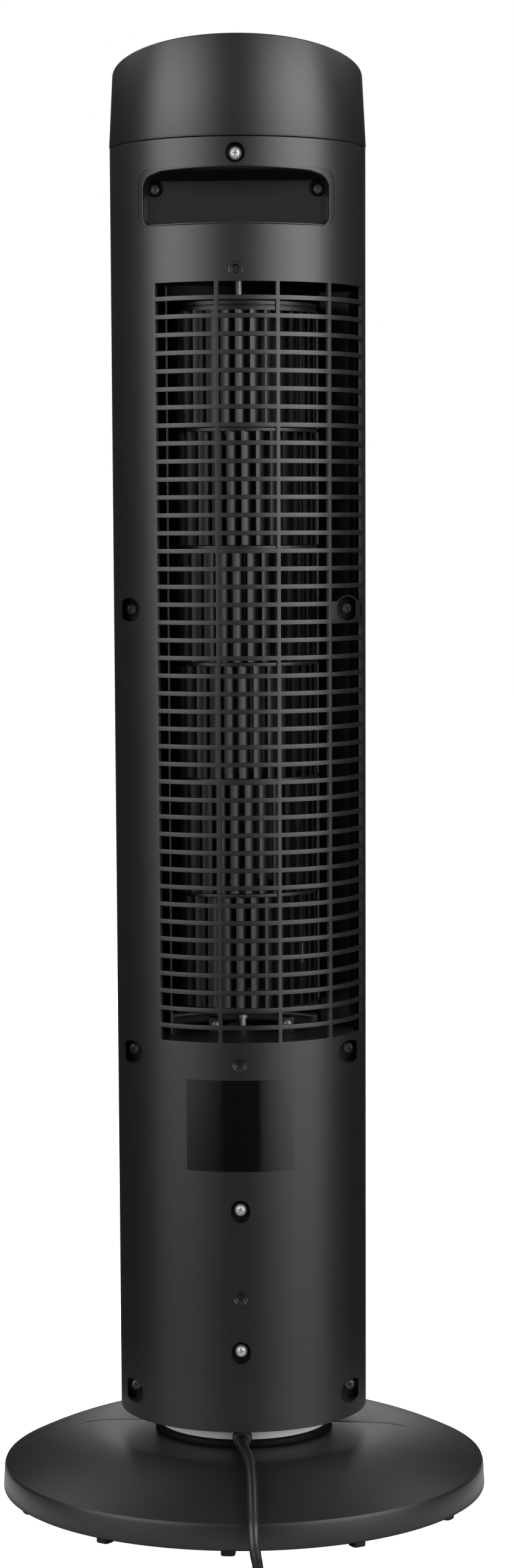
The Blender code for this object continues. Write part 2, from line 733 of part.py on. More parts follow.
def gears():
    """Model the fixed gear on the hub's stem and the pinion that rolls round it."""
    direction = math.radians(PINION_ANGLE)
    low = FLOOR_BOTTOM + FLOOR_T + GAP
    gap_phase = direction + math.pi / GEAR_TEETH
    gear = finish("fixed_gear", extruded_bmesh(tooth_outline(GEAR_TEETH, gap_phase), low, low + 0.0045),
                  grey_plastic())
    bore = tool("gear_bore_tool", turned_bmesh(cylinder_profile(STEM_R + GAP, 0.05, 0.08), 48, False))
    boolean(gear, bore, "DIFFERENCE")
    distance = GEAR_MODULE * (GEAR_TEETH + PINION_TEETH) / 2 + GEAR_BACKLASH
    outline = tooth_outline(PINION_TEETH, direction + math.pi)
    pinion = finish("swing_pinion", extruded_bmesh(outline, low + 0.0004, low + 0.0050), grey_plastic())
    pinion.location = (distance * math.cos(direction), distance * math.sin(direction), 0.0)
    return distance


def swing_motor(distance):
    """Model the small geared motor that turns the pinion."""
    direction = math.radians(PINION_ANGLE)
    low = FLOOR_BOTTOM + FLOOR_T + 0.0058
    profile = ((0.0, low + 0.0185), (0.0165, low + 0.0185), (0.0175, low + 0.0175), (0.0175, low + 0.0010),
               (0.0165, low), (0.0, low))
    motor = turned("swing_motor", profile, steel(), 20, False)
    motor.location = (distance * math.cos(direction), distance * math.sin(direction), 0.0)


# Base ---------------------------------------------------------------------------------------------

def dome_height(radius):
    """Return the height of the base's top at a radius beyond the plateau."""
    share = (radius - PLATEAU_R) / (BASE_R - PLATEAU_R)
    return PLATEAU_Z + (RIM_TOP - PLATEAU_Z) * share + 4 * DOME_BULGE * share * (1 - share)


def base_profile():
    """Return the closed outline of the base shell's section."""
    thick = 0.0028
    top = [(STEM_R + GAP, PLATEAU_Z), (PLATEAU_R, PLATEAU_Z)]
    radii = evenly(PLATEAU_R, BASE_R - 0.0012, 3)[1:]
    top += [(r, dome_height(r)) for r in radii]
    rim = [(BASE_R - 0.0008, RIM_TOP - 0.0006), (BASE_R, FOOT_H), (BASE_R - 0.0105, FOOT_H),
           (BASE_R - 0.0105, FOOT_H + 0.0030), (BASE_R - 0.0032, FOOT_H + 0.0030),
           (BASE_R - 0.0032, RIM_TOP - thick)]
    under = [(r, dome_height(r) - thick) for r in reversed(radii[:-1])]
    under += [(PLATEAU_R, PLATEAU_Z - thick), (STEM_R + GAP, PLATEAU_Z - thick)]
    return top + rim + under


def base_halves():
    """Model the base shell's two halves, parted by a straight seam."""
    for name, low, high in (("base_rear_half", SEAM_Y + GAP / 2, 0.2), ("base_front_half", -0.2, SEAM_Y - GAP / 2)):
        half = turned(name, base_profile(), black_plastic(), 48)
        keep = tool(name + "_tool", box_bmesh((-0.2, low, -0.1), (0.2, high, 0.1)))
        keep.rotation_euler.z = math.radians(BASE_TURN)
        boolean(half, keep, "INTERSECT")


def base_collar():
    """Model the black ring that the pale hub stands in."""
    profile = ((0.0556, 0.0460), (0.0567, 0.0450), (0.0567, PLATEAU_Z + GAP), (0.0500, PLATEAU_Z + GAP),
               (0.0500, 0.0460))
    collar = turned("base_collar", profile, black_plastic(), 36)
    slot = tool("collar_slot_tool", rod_along_y(0.0, EXIT_Z, 0.0068, 0.040, 0.080))
    boolean(collar, slot, "DIFFERENCE")


def lock_nut():
    """Model the large nut that clamps the hub's stem under the base."""
    outline = []
    lobes = 12
    for index in range(2 * lobes):
        radius = 0.0400 if index % 2 else 0.0370
        turn = math.pi * index / lobes
        outline.append((radius * math.cos(turn), radius * math.sin(turn)))
    nut = finish("lock_nut", extruded_bmesh(outline, 0.0250, 0.0389), grey_plastic())
    bore = tool("nut_bore_tool", turned_bmesh(cylinder_profile(STEM_R + GAP, 0.0, 0.06), 40, False))
    boolean(nut, bore, "DIFFERENCE")


def feet():
    """Model the small rubber feet under the rim."""
    number = 1
    for turn in (0.0, 180.0):
        for angle in FOOT_ANGLES:
            place = round_point(turn + angle + BASE_TURN, FOOT_CIRCLE, 0.0)
            foot = turned("foot_%02d" % number, cylinder_profile(FOOT_R, 0.0, FOOT_H - GAP),
                          black_rubber(), 12, False)
            foot.location = place
            number += 1


# Mains lead ---------------------------------------------------------------------------------------

def strain_relief():
    """Model the round bush that the lead leaves through, tapering inwards through the hub's wall."""
    profile = ((0.0, 0.0081), (0.0044, 0.0081), (0.0058, 0.0070), (0.0062, 0.0), (0.0040, 0.0),
               (0.0035, -0.0155), (0.0, -0.0155))
    relief = turned("strain_relief", profile, black_rubber(), 14, False)
    relief.location = (0.0, RELIEF_Y, EXIT_Z)
    relief.rotation_euler = (math.radians(-90), 0.0, 0.0)


def smooth_route(points, spacing):
    """Read points along a smooth curve through the route, about one spacing apart."""
    path = [Vector(p) for p in points]
    path = [2 * path[0] - path[1]] + path + [2 * path[-1] - path[-2]]
    fine = []
    for a, b, c, d in zip(path, path[1:], path[2:], path[3:]):
        for step in range(12):
            t = step / 12
            fine.append(0.5 * (2 * b + (c - a) * t + (2 * a - 5 * b + 4 * c - d) * t * t
                               + (3 * b - a - 3 * c + d) * t ** 3))
    fine.append(path[-2])
    lengths = [0.0]
    for a, b in zip(fine, fine[1:]):
        lengths.append(lengths[-1] + (b - a).length)
    count = max(2, round(lengths[-1] / spacing))
    read = []
    for index in range(count + 1):
        want = lengths[-1] * index / count
        after = next((k for k, value in enumerate(lengths) if value >= want - 1e-12), len(fine) - 1)
        before = max(after - 1, 0)
        span = lengths[after] - lengths[before]
        share = (want - lengths[before]) / span if span else 0.0
        read.append(fine[before].lerp(fine[after], share))
    return read


def power_cord():
    """Model the lead from its bush to the coil as a tube."""
    curve = bpy.data.curves.new("power_cord", "CURVE")
    curve.dimensions = "3D"
    curve.bevel_depth = CORD_D / 2
    curve.bevel_resolution = 2
    curve.use_fill_caps = True
    line = curve.splines.new("POLY")
    points = smooth_route(CORD_ROUTE, 2.2 * CORD_D)
    line.points.add(len(points) - 1)
    for target, point in zip(line.points, points):
        target.co = (*point, 1.0)
    curve.materials.append(black_rubber())
    cord = bpy.data.objects.new("power_cord", curve)
    bpy.context.scene.collection.objects.link(cord)


def cord_coil():
    """Model the outer shape of the wound part of the lead as a ring."""
    inner = COIL_TURN_R[0] - CORD_D / 2 - GAP
    outer = COIL_TURN_R[1] + CORD_D / 2 + GAP
    height = COIL_LAYERS * CORD_D + 0.0004
    profile = ((outer - 0.002, height), (outer, height - 0.002), (outer, 0.0), (inner, 0.0),
               (inner, height - 0.002), (inner + 0.002, height))
    coil = turned("cord_coil", profile, black_rubber(), 32)
    coil.location = (*COIL_CENTRE, 0.0)


def power_plug():
    """Model the flat two-pin plug that lies beside the coil, with its tapered sleeve."""
    axis_y = COIL_CENTRE[1] + COIL_TURN_R[1]
    start = COIL_CENTRE[0] + 0.0270
    outline = [(start, 0.0042), (start + 0.020, 0.0056), (start + 0.026, 0.0120), (start + 0.050, 0.0130),
               (start + 0.053, 0.0115)]
    ring = outline + [(x, -y) for x, y in reversed(outline)]
    plug = finish("power_plug", extruded_bmesh([(x, axis_y + y) for x, y in ring], 0.0, 0.0150),
                  black_rubber())
    pins = [box_bmesh((start + 0.050, axis_y + side * 0.00635 - 0.0008, 0.0043),
                      (start + 0.0695, axis_y + side * 0.00635 + 0.0008, 0.0107)) for side in (1, -1)]
    boolean(plug, tool("plug_pin_tool", joined(pins)), "UNION")


def build():
    start_empty()
    rear_casing()
    front_casing()
    outlet_grille()
    grip_pocket()
    screws()
    label_plate()
    scroll_wall()
    tongue_wall()
    duct_plates()
    upper_bearing()
    impeller()
    fan_motor()
    top_cap()
    control_panel()
    buttons()
    control_board()
    column_floor()
    turntable_hub()
    swing_motor(gears())
    base_halves()
    base_collar()
    lock_nut()
    feet()
    strain_relief()
    power_cord()
    cord_coil()
    power_plug()


build()
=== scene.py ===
# %% [markdown]
# # A tower fan, seen from behind
#
# The imported frame gives every part of the fan as plain solids, in metres, in one shared frame: +Z is
# up, the air leaves towards -Y, and the inlet grille faces +Y. This lesson dresses that frame. Solids
# whose shape is good enough keep it and get a finish. The ones that the eye rests on are modelled again
# with rounder edges, and each new piece that stands for a solid hides it.

import math

import bmesh
import bpy
from mathutils import Matrix, Vector


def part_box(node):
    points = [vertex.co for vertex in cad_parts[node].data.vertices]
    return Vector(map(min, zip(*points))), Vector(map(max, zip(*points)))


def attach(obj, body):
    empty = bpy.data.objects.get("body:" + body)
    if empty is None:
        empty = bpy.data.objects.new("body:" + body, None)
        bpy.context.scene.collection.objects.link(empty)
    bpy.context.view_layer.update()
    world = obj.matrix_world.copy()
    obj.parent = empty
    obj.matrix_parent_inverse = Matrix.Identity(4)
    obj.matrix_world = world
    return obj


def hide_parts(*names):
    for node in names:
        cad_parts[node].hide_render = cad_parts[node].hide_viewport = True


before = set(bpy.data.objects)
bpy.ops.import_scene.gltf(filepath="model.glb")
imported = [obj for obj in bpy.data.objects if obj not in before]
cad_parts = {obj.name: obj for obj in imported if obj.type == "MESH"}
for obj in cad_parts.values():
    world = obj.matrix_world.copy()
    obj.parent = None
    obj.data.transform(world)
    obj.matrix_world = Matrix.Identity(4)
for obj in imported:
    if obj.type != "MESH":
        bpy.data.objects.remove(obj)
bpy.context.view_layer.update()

# %% [markdown]
# ## The camera
#
# A long lens keeps the column's sides nearly parallel. The camera stands about 2.1 m behind the fan,
# a little above its middle, and looks slightly down. The frame sits low in the picture, which a rising
# front, the camera's vertical shift, gives without tilting the column.

# %% Camera
LENS = 77.818
camera_data = bpy.data.cameras.new("camera")
camera_data.lens = LENS
camera_data.sensor_width = 36.0
camera_data.shift_y = 0.1103
camera_data.clip_end = 60.0
camera = bpy.data.objects.new("camera", camera_data)
bpy.context.scene.collection.objects.link(camera)
heading = Matrix.Rotation(math.radians(180.8336), 4, "Z")
tilt = Matrix.Rotation(math.radians(90.0 - 7.1364), 4, "X")
roll = Matrix.Rotation(math.radians(-0.2574), 4, "Z")
camera.matrix_world = Matrix.Translation((-0.04065, 2.12465, 0.61051)) @ heading @ tilt @ roll
bpy.context.scene.camera = camera
print("camera: lens", LENS, "mm at", [round(x, 3) for x in camera.location])

# %% [markdown]
# ## Shader maths in plain Python
#
# Node trees are easier to read as sums than as boxes. This class wraps one socket: arithmetic on it adds
# Math nodes, and its `node` method adds any other node with its settings first and its inputs after.

# %% A socket that can be calculated with
class Wire:
    """One output socket of a shader tree."""

    def __init__(self, tree, socket=None):
        self.tree = tree
        self.socket = socket

    def node(self, kind, settings=None, inputs=None, output=0):
        """Add a node, set it up, feed its inputs, and return one output."""
        made = self.tree.nodes.new(kind)
        for name, value in (settings or {}).items():
            if name == "stops":
                ramp = made.color_ramp
                while len(ramp.elements) < len(value):
                    ramp.elements.new(0.5)
                for element, (place, shade) in zip(ramp.elements, value):
                    element.position = place
                    element.color = (shade, shade, shade, 1.0)
            else:
                setattr(made, name, value)
        for name, value in (inputs or {}).items():
            self.feed(made.inputs[name], value)
        return Wire(self.tree, made.outputs[output])

    def feed(self, target, value):
        """Link a wire to an input, or set the input's own value."""
        if isinstance(value, Wire):
            self.tree.links.new(value.socket, target)
        else:
            target.default_value = value

    def maths(self, operation, first, second=0.0):
        return self.node("ShaderNodeMath", {"operation": operation}, {0: first, 1: second})

    def __add__(self, other):
        return self.maths("ADD", self, other)

    __radd__ = __add__

    def __sub__(self, other):
        return self.maths("SUBTRACT", self, other)

    def __rsub__(self, other):
        return self.maths("SUBTRACT", other, self)

    def __mul__(self, other):
        return self.maths("MULTIPLY", self, other)

    __rmul__ = __mul__

    def __pow__(self, other):
        return self.maths("POWER", self, other)


def finish_of(name, colour, roughness, **even):
    """Start a material and return it with its shader and a wire to build on."""
    made = bpy.data.materials.new(name)
    made.use_nodes = True
    tree = made.node_tree
    shader = tree.nodes["Principled BSDF"]
    shader.inputs["Base Color"].default_value = (*colour, 1.0)
    shader.inputs["Roughness"].default_value = roughness
    for socket, value in even.items():
        shader.inputs[socket.replace("_", " ")].default_value = value
    return made, shader, Wire(tree)


def place_of(wire, scale=(1.0, 1.0, 1.0)):
    """Return the piece's own coordinates in metres, stretched by a scale."""
    here = wire.node("ShaderNodeTexCoord", output=3)
    return wire.node("ShaderNodeMapping", inputs={"Vector": here, "Scale": scale})


def noise(wire, where, size, detail=3.0, roughness=0.5):
    """Return noise whose lumps are about one size across, in metres."""
    return wire.node("ShaderNodeTexNoise", inputs={"Vector": where, "Scale": 1.0 / size, "Detail": detail,
                                                   "Roughness": roughness})


def blend_colours(wire, share, first, second):
    """Mix two colours by a share."""
    return wire.node("ShaderNodeMix", {"data_type": "RGBA"},
                     {"Factor": share, 6: (*first, 1.0), 7: (*second, 1.0)}, output=2)


def add_relief(wire, shader, height, depth):
    """Turn a height from 0 to 1 into relief of a depth in metres."""
    bump = wire.node("ShaderNodeBump", inputs={"Height": height, "Distance": depth, "Strength": 1.0})
    wire.feed(shader.inputs["Normal"], bump)


print("shader helpers ready")

# %% [markdown]
# ## The plastics
#
# The housing is black polypropylene or ABS from a spark-eroded mould: a dense, even grain of shallow pits a
# third of a millimetre across, with a satin sheen. Real mouldings are never one flat value, so the grain
# breaks up the highlight and a slow cloud of roughness and tone runs under it.

# %% Grained black plastic
def grained_plastic(name, colour, roughness, grain=0.00045, depth=0.00004, cloud=0.04):
    """Make moulded plastic with a fine pitted grain."""
    made, shader, wire = finish_of(name, colour, roughness, Specular_IOR_Level=0.5)
    here = place_of(wire)
    pits = wire.node("ShaderNodeTexVoronoi", {"feature": "SMOOTH_F1"},
                     {"Vector": here, "Scale": 1.0 / grain, "Smoothness": 0.6})
    soft = noise(wire, here, grain * 2.2, 2.0)
    add_relief(wire, shader, pits * 0.55 + soft * 0.45, depth)
    patches = noise(wire, here, 0.05, 4.0)
    fine = noise(wire, here, 0.0016, 2.0)
    wire.feed(shader.inputs["Roughness"], patches * cloud + fine * 0.06 + (roughness - cloud / 2 - 0.03))
    lighter = tuple(x * 1.35 + 0.002 for x in colour)
    wire.feed(shader.inputs["Base Color"], blend_colours(wire, fine * 0.6 + patches * 0.3, colour, lighter))
    return made


HOUSING = grained_plastic("housing_black", (0.0052, 0.0052, 0.0054), 0.40)
BASE_BLACK = grained_plastic("base_black", (0.0062, 0.0062, 0.0064), 0.40, grain=0.00038)
BASE_BLACK.node_tree.nodes["Principled BSDF"].inputs["Specular IOR Level"].default_value = 0.34
# The grip tray and its cups get a black darker than the housing: painted shade for the recess behind the grip.
TRAY_SHADE_BLACK = grained_plastic("tray_black_painted_shade", (0.0016, 0.0016, 0.0017), 0.40, grain=0.0008, depth=0.00008)
DUCT_BLACK = grained_plastic("duct_black", (0.0050, 0.0050, 0.0052), 0.46, grain=0.0006)
# The collar is a black ring. Its colour, darker than the housing's, is also painted shade for its place under the
# column.
COLLAR_SHADE_BLACK = grained_plastic("collar_black_painted_shade", (0.0012, 0.0012, 0.0013), 0.56, grain=0.0006)
COLLAR_SHADE_BLACK.node_tree.nodes["Principled BSDF"].inputs["Specular IOR Level"].default_value = 0.12
IMPELLER = grained_plastic("impeller_satin", (0.0070, 0.0069, 0.0068), 0.40, grain=0.0008, depth=0.00008,
                           cloud=0.10)
PALE = grained_plastic("hub_pale", (0.56, 0.56, 0.55), 0.38, grain=0.0006, depth=0.00002)
print("plastics:", [m.name for m in (HOUSING, BASE_BLACK, TRAY_SHADE_BLACK, DUCT_BLACK, IMPELLER, PALE)])

# %% [markdown]
# ## Gloss, rubber, metal and board
#
# The rating plate and the control panel are smooth film and acrylic, so they mirror the studio. Rubber is
# duller and drinks light. The three centre screws are bright zinc with brushed streaks; the rest are blackened.

# %% Other finishes
def smooth_gloss(name, colour, roughness):
    """Make a glossy film with faint waviness and a few dulled patches."""
    made, shader, wire = finish_of(name, colour, roughness, Specular_IOR_Level=0.5)
    here = place_of(wire)
    smears = noise(wire, here, 0.018, 5.0, 0.7)
    wire.feed(shader.inputs["Roughness"], smears * 0.05 + (roughness - 0.02))
    add_relief(wire, shader, noise(wire, here, 0.012, 1.0), 0.000012)
    return made


def rubber(name, colour, roughness):
    """Make soft rubber or PVC with a matt, slightly dusty skin."""
    made, shader, wire = finish_of(name, colour, roughness, Specular_IOR_Level=0.5)
    here = place_of(wire)
    dust = noise(wire, here, 0.004, 4.0, 0.6)
    wire.feed(shader.inputs["Base Color"], blend_colours(wire, dust, colour, tuple(x * 1.8 for x in colour)))
    wire.feed(shader.inputs["Roughness"], dust * 0.12 + (roughness - 0.06))
    add_relief(wire, shader, noise(wire, here, 0.0005, 2.0), 0.00002)
    return made


def metal(name, colour, roughness, stretch=(1.0, 1.0, 1.0), bare=1.0):
    """Make plated metal with brushed streaks and small dull spots."""
    made, shader, wire = finish_of(name, colour, roughness, Metallic=bare)
    streaks = noise(wire, place_of(wire, stretch), 0.0006, 3.0, 0.7)
    spots = noise(wire, place_of(wire), 0.0014, 4.0, 0.6)
    wire.feed(shader.inputs["Roughness"], streaks * 0.16 + spots * 0.10 + (roughness - 0.12))
    wire.feed(shader.inputs["Base Color"], blend_colours(wire, spots, colour, tuple(x * 0.72 for x in colour)))
    add_relief(wire, shader, streaks, 0.000015)
    return made


GLOSS = smooth_gloss("film_black", (0.0030, 0.0030, 0.0032), 0.10)
PANEL_GLOSS = smooth_gloss("panel_black", (0.0045, 0.0045, 0.0050), 0.12)
RUBBER = rubber("rubber_black", (0.0100, 0.0100, 0.0100), 0.55)
LEAD = rubber("lead_black", (0.0050, 0.0050, 0.0050), 0.40)
ZINC = metal("zinc_bright", (0.92, 0.91, 0.89), 0.40, bare=0.55)
DARK_SCREW = metal("screw_black", (0.26, 0.26, 0.27), 0.40, bare=0.6)
SHAFT = metal("shaft_steel", (0.88, 0.86, 0.83), 0.40, (1.0, 1.0, 30.0), 0.6)
CAN = metal("motor_can", (0.22, 0.22, 0.23), 0.38, (1.0, 1.0, 12.0))
BRASS = metal("plug_pin", (0.72, 0.62, 0.40), 0.24, (20.0, 1.0, 1.0))
BOARD = smooth_gloss("board_green", (0.010, 0.075, 0.030), 0.30)
print("other finishes:", [m.name for m in (GLOSS, PANEL_GLOSS, RUBBER, LEAD, ZINC, DARK_SCREW, SHAFT, CAN)])

# %% [markdown]
# ## Making pieces
#
# Every new piece is a bmesh that a few operators shape. `piece` turns it into an object that sits at the
# origin, rides on its body and hides the solid it stands for, if it is given one. Smooth shading breaks at sharp
# edges.

# %% Piece helpers
def move_by(bm, vec):
    """Move everything in a bmesh."""
    bmesh.ops.translate(bm, verts=bm.verts, vec=vec)


def scale_by(bm, vec):
    """Scale everything in a bmesh about the origin."""
    bmesh.ops.scale(bm, verts=bm.verts, vec=vec)


def turn_by(bm, matrix):
    """Turn everything in a bmesh about the origin."""
    bmesh.ops.rotate(bm, verts=bm.verts, cent=(0, 0, 0), matrix=matrix)


def soften(bm, edges, offset, segments):
    """Round some edges."""
    bmesh.ops.bevel(bm, geom=edges, offset=offset, segments=segments, profile=0.5, affect="EDGES", material=-1)


def unit_cube(vec):
    """Return a block of the given sizes about the origin."""
    bm = bmesh.new()
    bmesh.ops.create_cube(bm, size=1.0)
    scale_by(bm, vec)
    return bm


def piece(name, bm, look, body, replaced=(), sharp=32.0):
    """Finish a bmesh as an object of the fan."""
    bmesh.ops.remove_doubles(bm, verts=bm.verts, dist=1e-6)
    bmesh.ops.recalc_face_normals(bm, faces=bm.faces)
    mesh = bpy.data.meshes.new(name)
    bm.to_mesh(mesh)
    bm.free()
    mesh.shade_smooth()
    mesh.set_sharp_from_angle(angle=math.radians(sharp))
    mesh.materials.append(look)
    made = bpy.data.objects.new(name, mesh)
    bpy.context.scene.collection.objects.link(made)
    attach(made, body)
    if replaced:
        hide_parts(*([replaced] if isinstance(replaced, str) else replaced))
    return made


def on_column(angle, radius, z):
    """Return the point at an angle round the column, from +Y towards -X."""
    turn = math.radians(angle)
    return Vector((-radius * math.sin(turn), radius * math.cos(turn), z))


def spun(profile, steps=96, closed=True):
    """Spin an outline of (radius, height) points a full turn about Z."""
    bm = bmesh.new()
    points = [bm.verts.new((radius, 0.0, z)) for radius, z in profile]
    pairs = list(zip(points, points[1:])) + ([(points[-1], points[0])] if closed else [])
    edges = [bm.edges.new(pair) for pair in pairs]
    bmesh.ops.spin(bm, geom=points + edges, cent=(0, 0, 0), axis=(0, 0, 1), angle=math.tau, steps=steps,
                   use_merge=True)
    bmesh.ops.remove_doubles(bm, verts=bm.verts, dist=1e-6)
    bmesh.ops.recalc_face_normals(bm, faces=bm.faces)
    return bm


def rounded(points, radius, steps=3):
    """Round the corners of an outline of (radius, height) points."""
    out = []
    count = len(points)
    for index, corner in enumerate(points):
        here, before, after = (Vector(p) for p in (corner, points[index - 1], points[(index + 1) % count]))
        size = radius[index] if isinstance(radius, (list, tuple)) else radius
        if size <= 0.0:
            out.append(tuple(here))
            continue
        start = here + (before - here).normalized() * min(size, (before - here).length * 0.45)
        end = here + (after - here).normalized() * min(size, (after - here).length * 0.45)
        for step in range(steps + 1):
            t = step / steps
            out.append(tuple(start * (1 - t) ** 2 + here * (2 * t * (1 - t)) + end * t * t))
    return out


def settle(made):
    """Apply a piece's modifiers to its mesh."""
    bpy.context.view_layer.update()
    graph = bpy.context.evaluated_depsgraph_get()
    mesh = bpy.data.meshes.new_from_object(made.evaluated_get(graph))
    old = made.data
    made.modifiers.clear()
    made.data = mesh
    mesh.name = old.name
    bpy.data.meshes.remove(old)
    return made


def carve(made, cutter, operation="DIFFERENCE"):
    """Cut a bmesh tool out of a piece, and leave no modifier behind."""
    mesh = bpy.data.meshes.new("cutter")
    bmesh.ops.recalc_face_normals(cutter, faces=cutter.faces)
    cutter.to_mesh(mesh)
    cutter.free()
    tool = bpy.data.objects.new("cutter", mesh)
    bpy.context.scene.collection.objects.link(tool)
    cut = made.modifiers.new("carve", "BOOLEAN")
    cut.operation = operation
    cut.solver = "EXACT"
    cut.object = tool
    settle(made)
    bpy.data.objects.remove(tool)
    bpy.data.meshes.remove(mesh)
    return made


def smoothed(made, sharp=32.0):
    """Shade a carved piece smooth again, led by its large faces, with its edges sharp."""
    made.data.shade_smooth()
    made.data.set_sharp_from_angle(angle=math.radians(sharp))
    even = made.modifiers.new("even_shading", "WEIGHTED_NORMAL")
    even.weight = 100
    even.keep_sharp = True
    return settle(made)


def rod(radius, near, far, steps=32, squash=1.0):
    """Return a solid rod along Z from near to far."""
    bm = bmesh.new()
    ring = bmesh.ops.create_circle(bm, cap_ends=True, segments=steps, radius=radius)["verts"]
    bmesh.ops.translate(bm, verts=ring, vec=(0, 0, near))
    grown = bmesh.ops.extrude_face_region(bm, geom=bm.faces[:])["geom"]
    bmesh.ops.translate(bm, verts=[v for v in grown if isinstance(v, bmesh.types.BMVert)],
                        vec=(0, 0, far - near))
    scale_by(bm, (1.0, squash, 1.0))
    bmesh.ops.recalc_face_normals(bm, faces=bm.faces)
    return bm


def face_back(bm, x, z, y=0.0):
    """Turn a shape made along Z so that it points to +Y, and move it to x, y, z."""
    turn_by(bm, Matrix.Rotation(math.radians(-90), 3, "X"))
    move_by(bm, (x, y, z))
    return bm


def all_of(*shapes):
    """Join several bmeshes into one."""
    whole = bmesh.new()
    for shape in shapes:
        mesh = bpy.data.meshes.new("joined")
        shape.to_mesh(mesh)
        shape.free()
        whole.from_mesh(mesh)
        bpy.data.meshes.remove(mesh)
    return whole


print("piece helpers ready")

# %% [markdown]
# ## The mains lead
#
# About 1.45 m of round black lead, 6.8 mm thick. It comes straight out of its bush at the back of the hub,
# lies down over the base, drops over the rim to the floor and runs back. The rest is wound as for storage:
# two layers of three turns, each a diameter from the next, with the plug beside the coil. A curve keeps its
# thickness exactly, and its route is one smooth line read through a few dozen points.

# %% Route of the lead
LEAD_D = 0.0068
COIL_X, COIL_Y = 0.0306, 0.2900
TURNS = (0.0421, 0.0352, 0.0283)
LAYERS = (0.0044, 0.0113)
CORD_ROUTE = (
    (0.0000, 0.0634, 0.0485),
    (0.0000, 0.0680, 0.0485),
    (-0.0014, 0.0780, 0.0470),
    (-0.0036, 0.0890, 0.0463),
    (-0.0054, 0.1014, 0.0450),
    (-0.0066, 0.1164, 0.0418),
    (-0.0074, 0.1311, 0.0369),
    (-0.0079, 0.1450, 0.0311),
    (-0.0083, 0.1569, 0.0243),
    (-0.0088, 0.1640, 0.0140),
    (-0.0098, 0.1700, 0.0074),
    (-0.0110, 0.1800, 0.0046),
    (-0.0118, 0.1960, 0.0036),
    (-0.0120, 0.2120, 0.0036),
    (-0.0118, 0.2300, 0.0036),
    (-0.0116, 0.2480, 0.0036),
    (-0.0115, 0.2646, 0.0036),
)
route = list(CORD_ROUTE)


def ease(value, start, end):
    """Return 0 before start, 1 after end, and a smooth step between."""
    share = min(max((value - start) / (end - start), 0.0), 1.0)
    return share * share * (3 - 2 * share)


def coil_place(turn):
    """Return the point of the coil after a number of turns, clockwise from its left side."""
    radius = TURNS[0] + (TURNS[1] - TURNS[0]) * ease(turn, 0.75, 1.0)
    radius += (TURNS[2] - TURNS[1]) * ease(turn, 1.75, 2.0)
    radius += (TURNS[1] - TURNS[2]) * ease(turn, 3.25, 3.5) + (TURNS[0] - TURNS[1]) * ease(turn, 4.25, 4.5)
    z = LAYERS[0] + (LAYERS[1] - LAYERS[0]) * ease(turn, 2.5, 2.75)
    angle = math.radians(180.0 - 360.0 * turn)
    return (COIL_X + radius * math.cos(angle), COIL_Y + radius * math.sin(angle), z)


PER_TURN = 36
route += [coil_place(step / PER_TURN) for step in range(int(5.25 * PER_TURN) + 1)]
plug_low, plug_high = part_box("power_plug")
plug_y = COIL_Y + TURNS[0]
route += [(COIL_X + 0.010, plug_y, 0.0108), (COIL_X + 0.019, plug_y, 0.0094), (plug_low.x + 0.001, plug_y, 0.0080)]


def smooth_line(points, spacing):
    """Read a smooth curve through the points, about one spacing apart."""
    path = [Vector(p) for p in points]
    path = [2 * path[0] - path[1]] + path + [2 * path[-1] - path[-2]]
    fine = []
    for a, b, c, d in zip(path, path[1:], path[2:], path[3:]):
        for step in range(8):
            t = step / 8
            fine.append(0.5 * (2 * b + (c - a) * t + (2 * a - 5 * b + 4 * c - d) * t * t
                               + (3 * b - a - 3 * c + d) * t ** 3))
    fine.append(path[-2])
    line, gone = [fine[0]], 0.0
    for a, b in zip(fine, fine[1:]):
        gone += (b - a).length
        if gone >= spacing:
            line.append(b)
            gone = 0.0
    if (line[-1] - fine[-1]).length > spacing * 0.3:
        line.append(fine[-1])
    return line


lead_line = smooth_line(route, 0.0032)
lead_length = sum((b - a).length for a, b in zip(lead_line, lead_line[1:]))
print("lead:", len(lead_line), "points,", round(lead_length, 3), "m")

# %% The lead itself
lead_curve = bpy.data.curves.new("mains_lead", "CURVE")
lead_curve.dimensions = "3D"
lead_curve.bevel_depth = LEAD_D / 2
lead_curve.bevel_resolution = 4
lead_curve.use_fill_caps = True
spline = lead_curve.splines.new("POLY")
spline.points.add(len(lead_line) - 1)
for target, point in zip(spline.points, lead_line):
    target.co = (*point, 1.0)
lead_curve.materials.append(LEAD)
lead = bpy.data.objects.new("mains_lead", lead_curve)
bpy.context.scene.collection.objects.link(lead)
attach(lead, "base")
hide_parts("power_cord", "cord_coil")
print("lead drawn as one curve,", LEAD_D, "m thick")

# %% [markdown]
# ## The plug, the bush and the tie
#
# The plug is a flat moulding with a waisted grip, a ribbed sleeve and two blades. The bush that the lead
# leaves through is round and tapers into the hub. A hook-and-loop tie holds the coil together.

# %% Plug
def ribbed_sleeve(length, wide, narrow, ribs):
    """Return a tapered sleeve along Z with rings round it."""
    profile = [(0.0, 0.0), (wide, 0.0)]
    for rib in range(ribs):
        low = length * (rib + 0.35) / (ribs + 0.4)
        high = length * (rib + 0.85) / (ribs + 0.4)
        r_low = wide + (narrow - wide) * low / length
        r_high = wide + (narrow - wide) * high / length
        profile += [(r_low, low), (r_low - 0.0009, low + 0.0003), (r_high - 0.0009, high - 0.0003), (r_high, high)]
    profile += [(narrow, length), (0.0, length)]
    return spun(profile, 32, False)


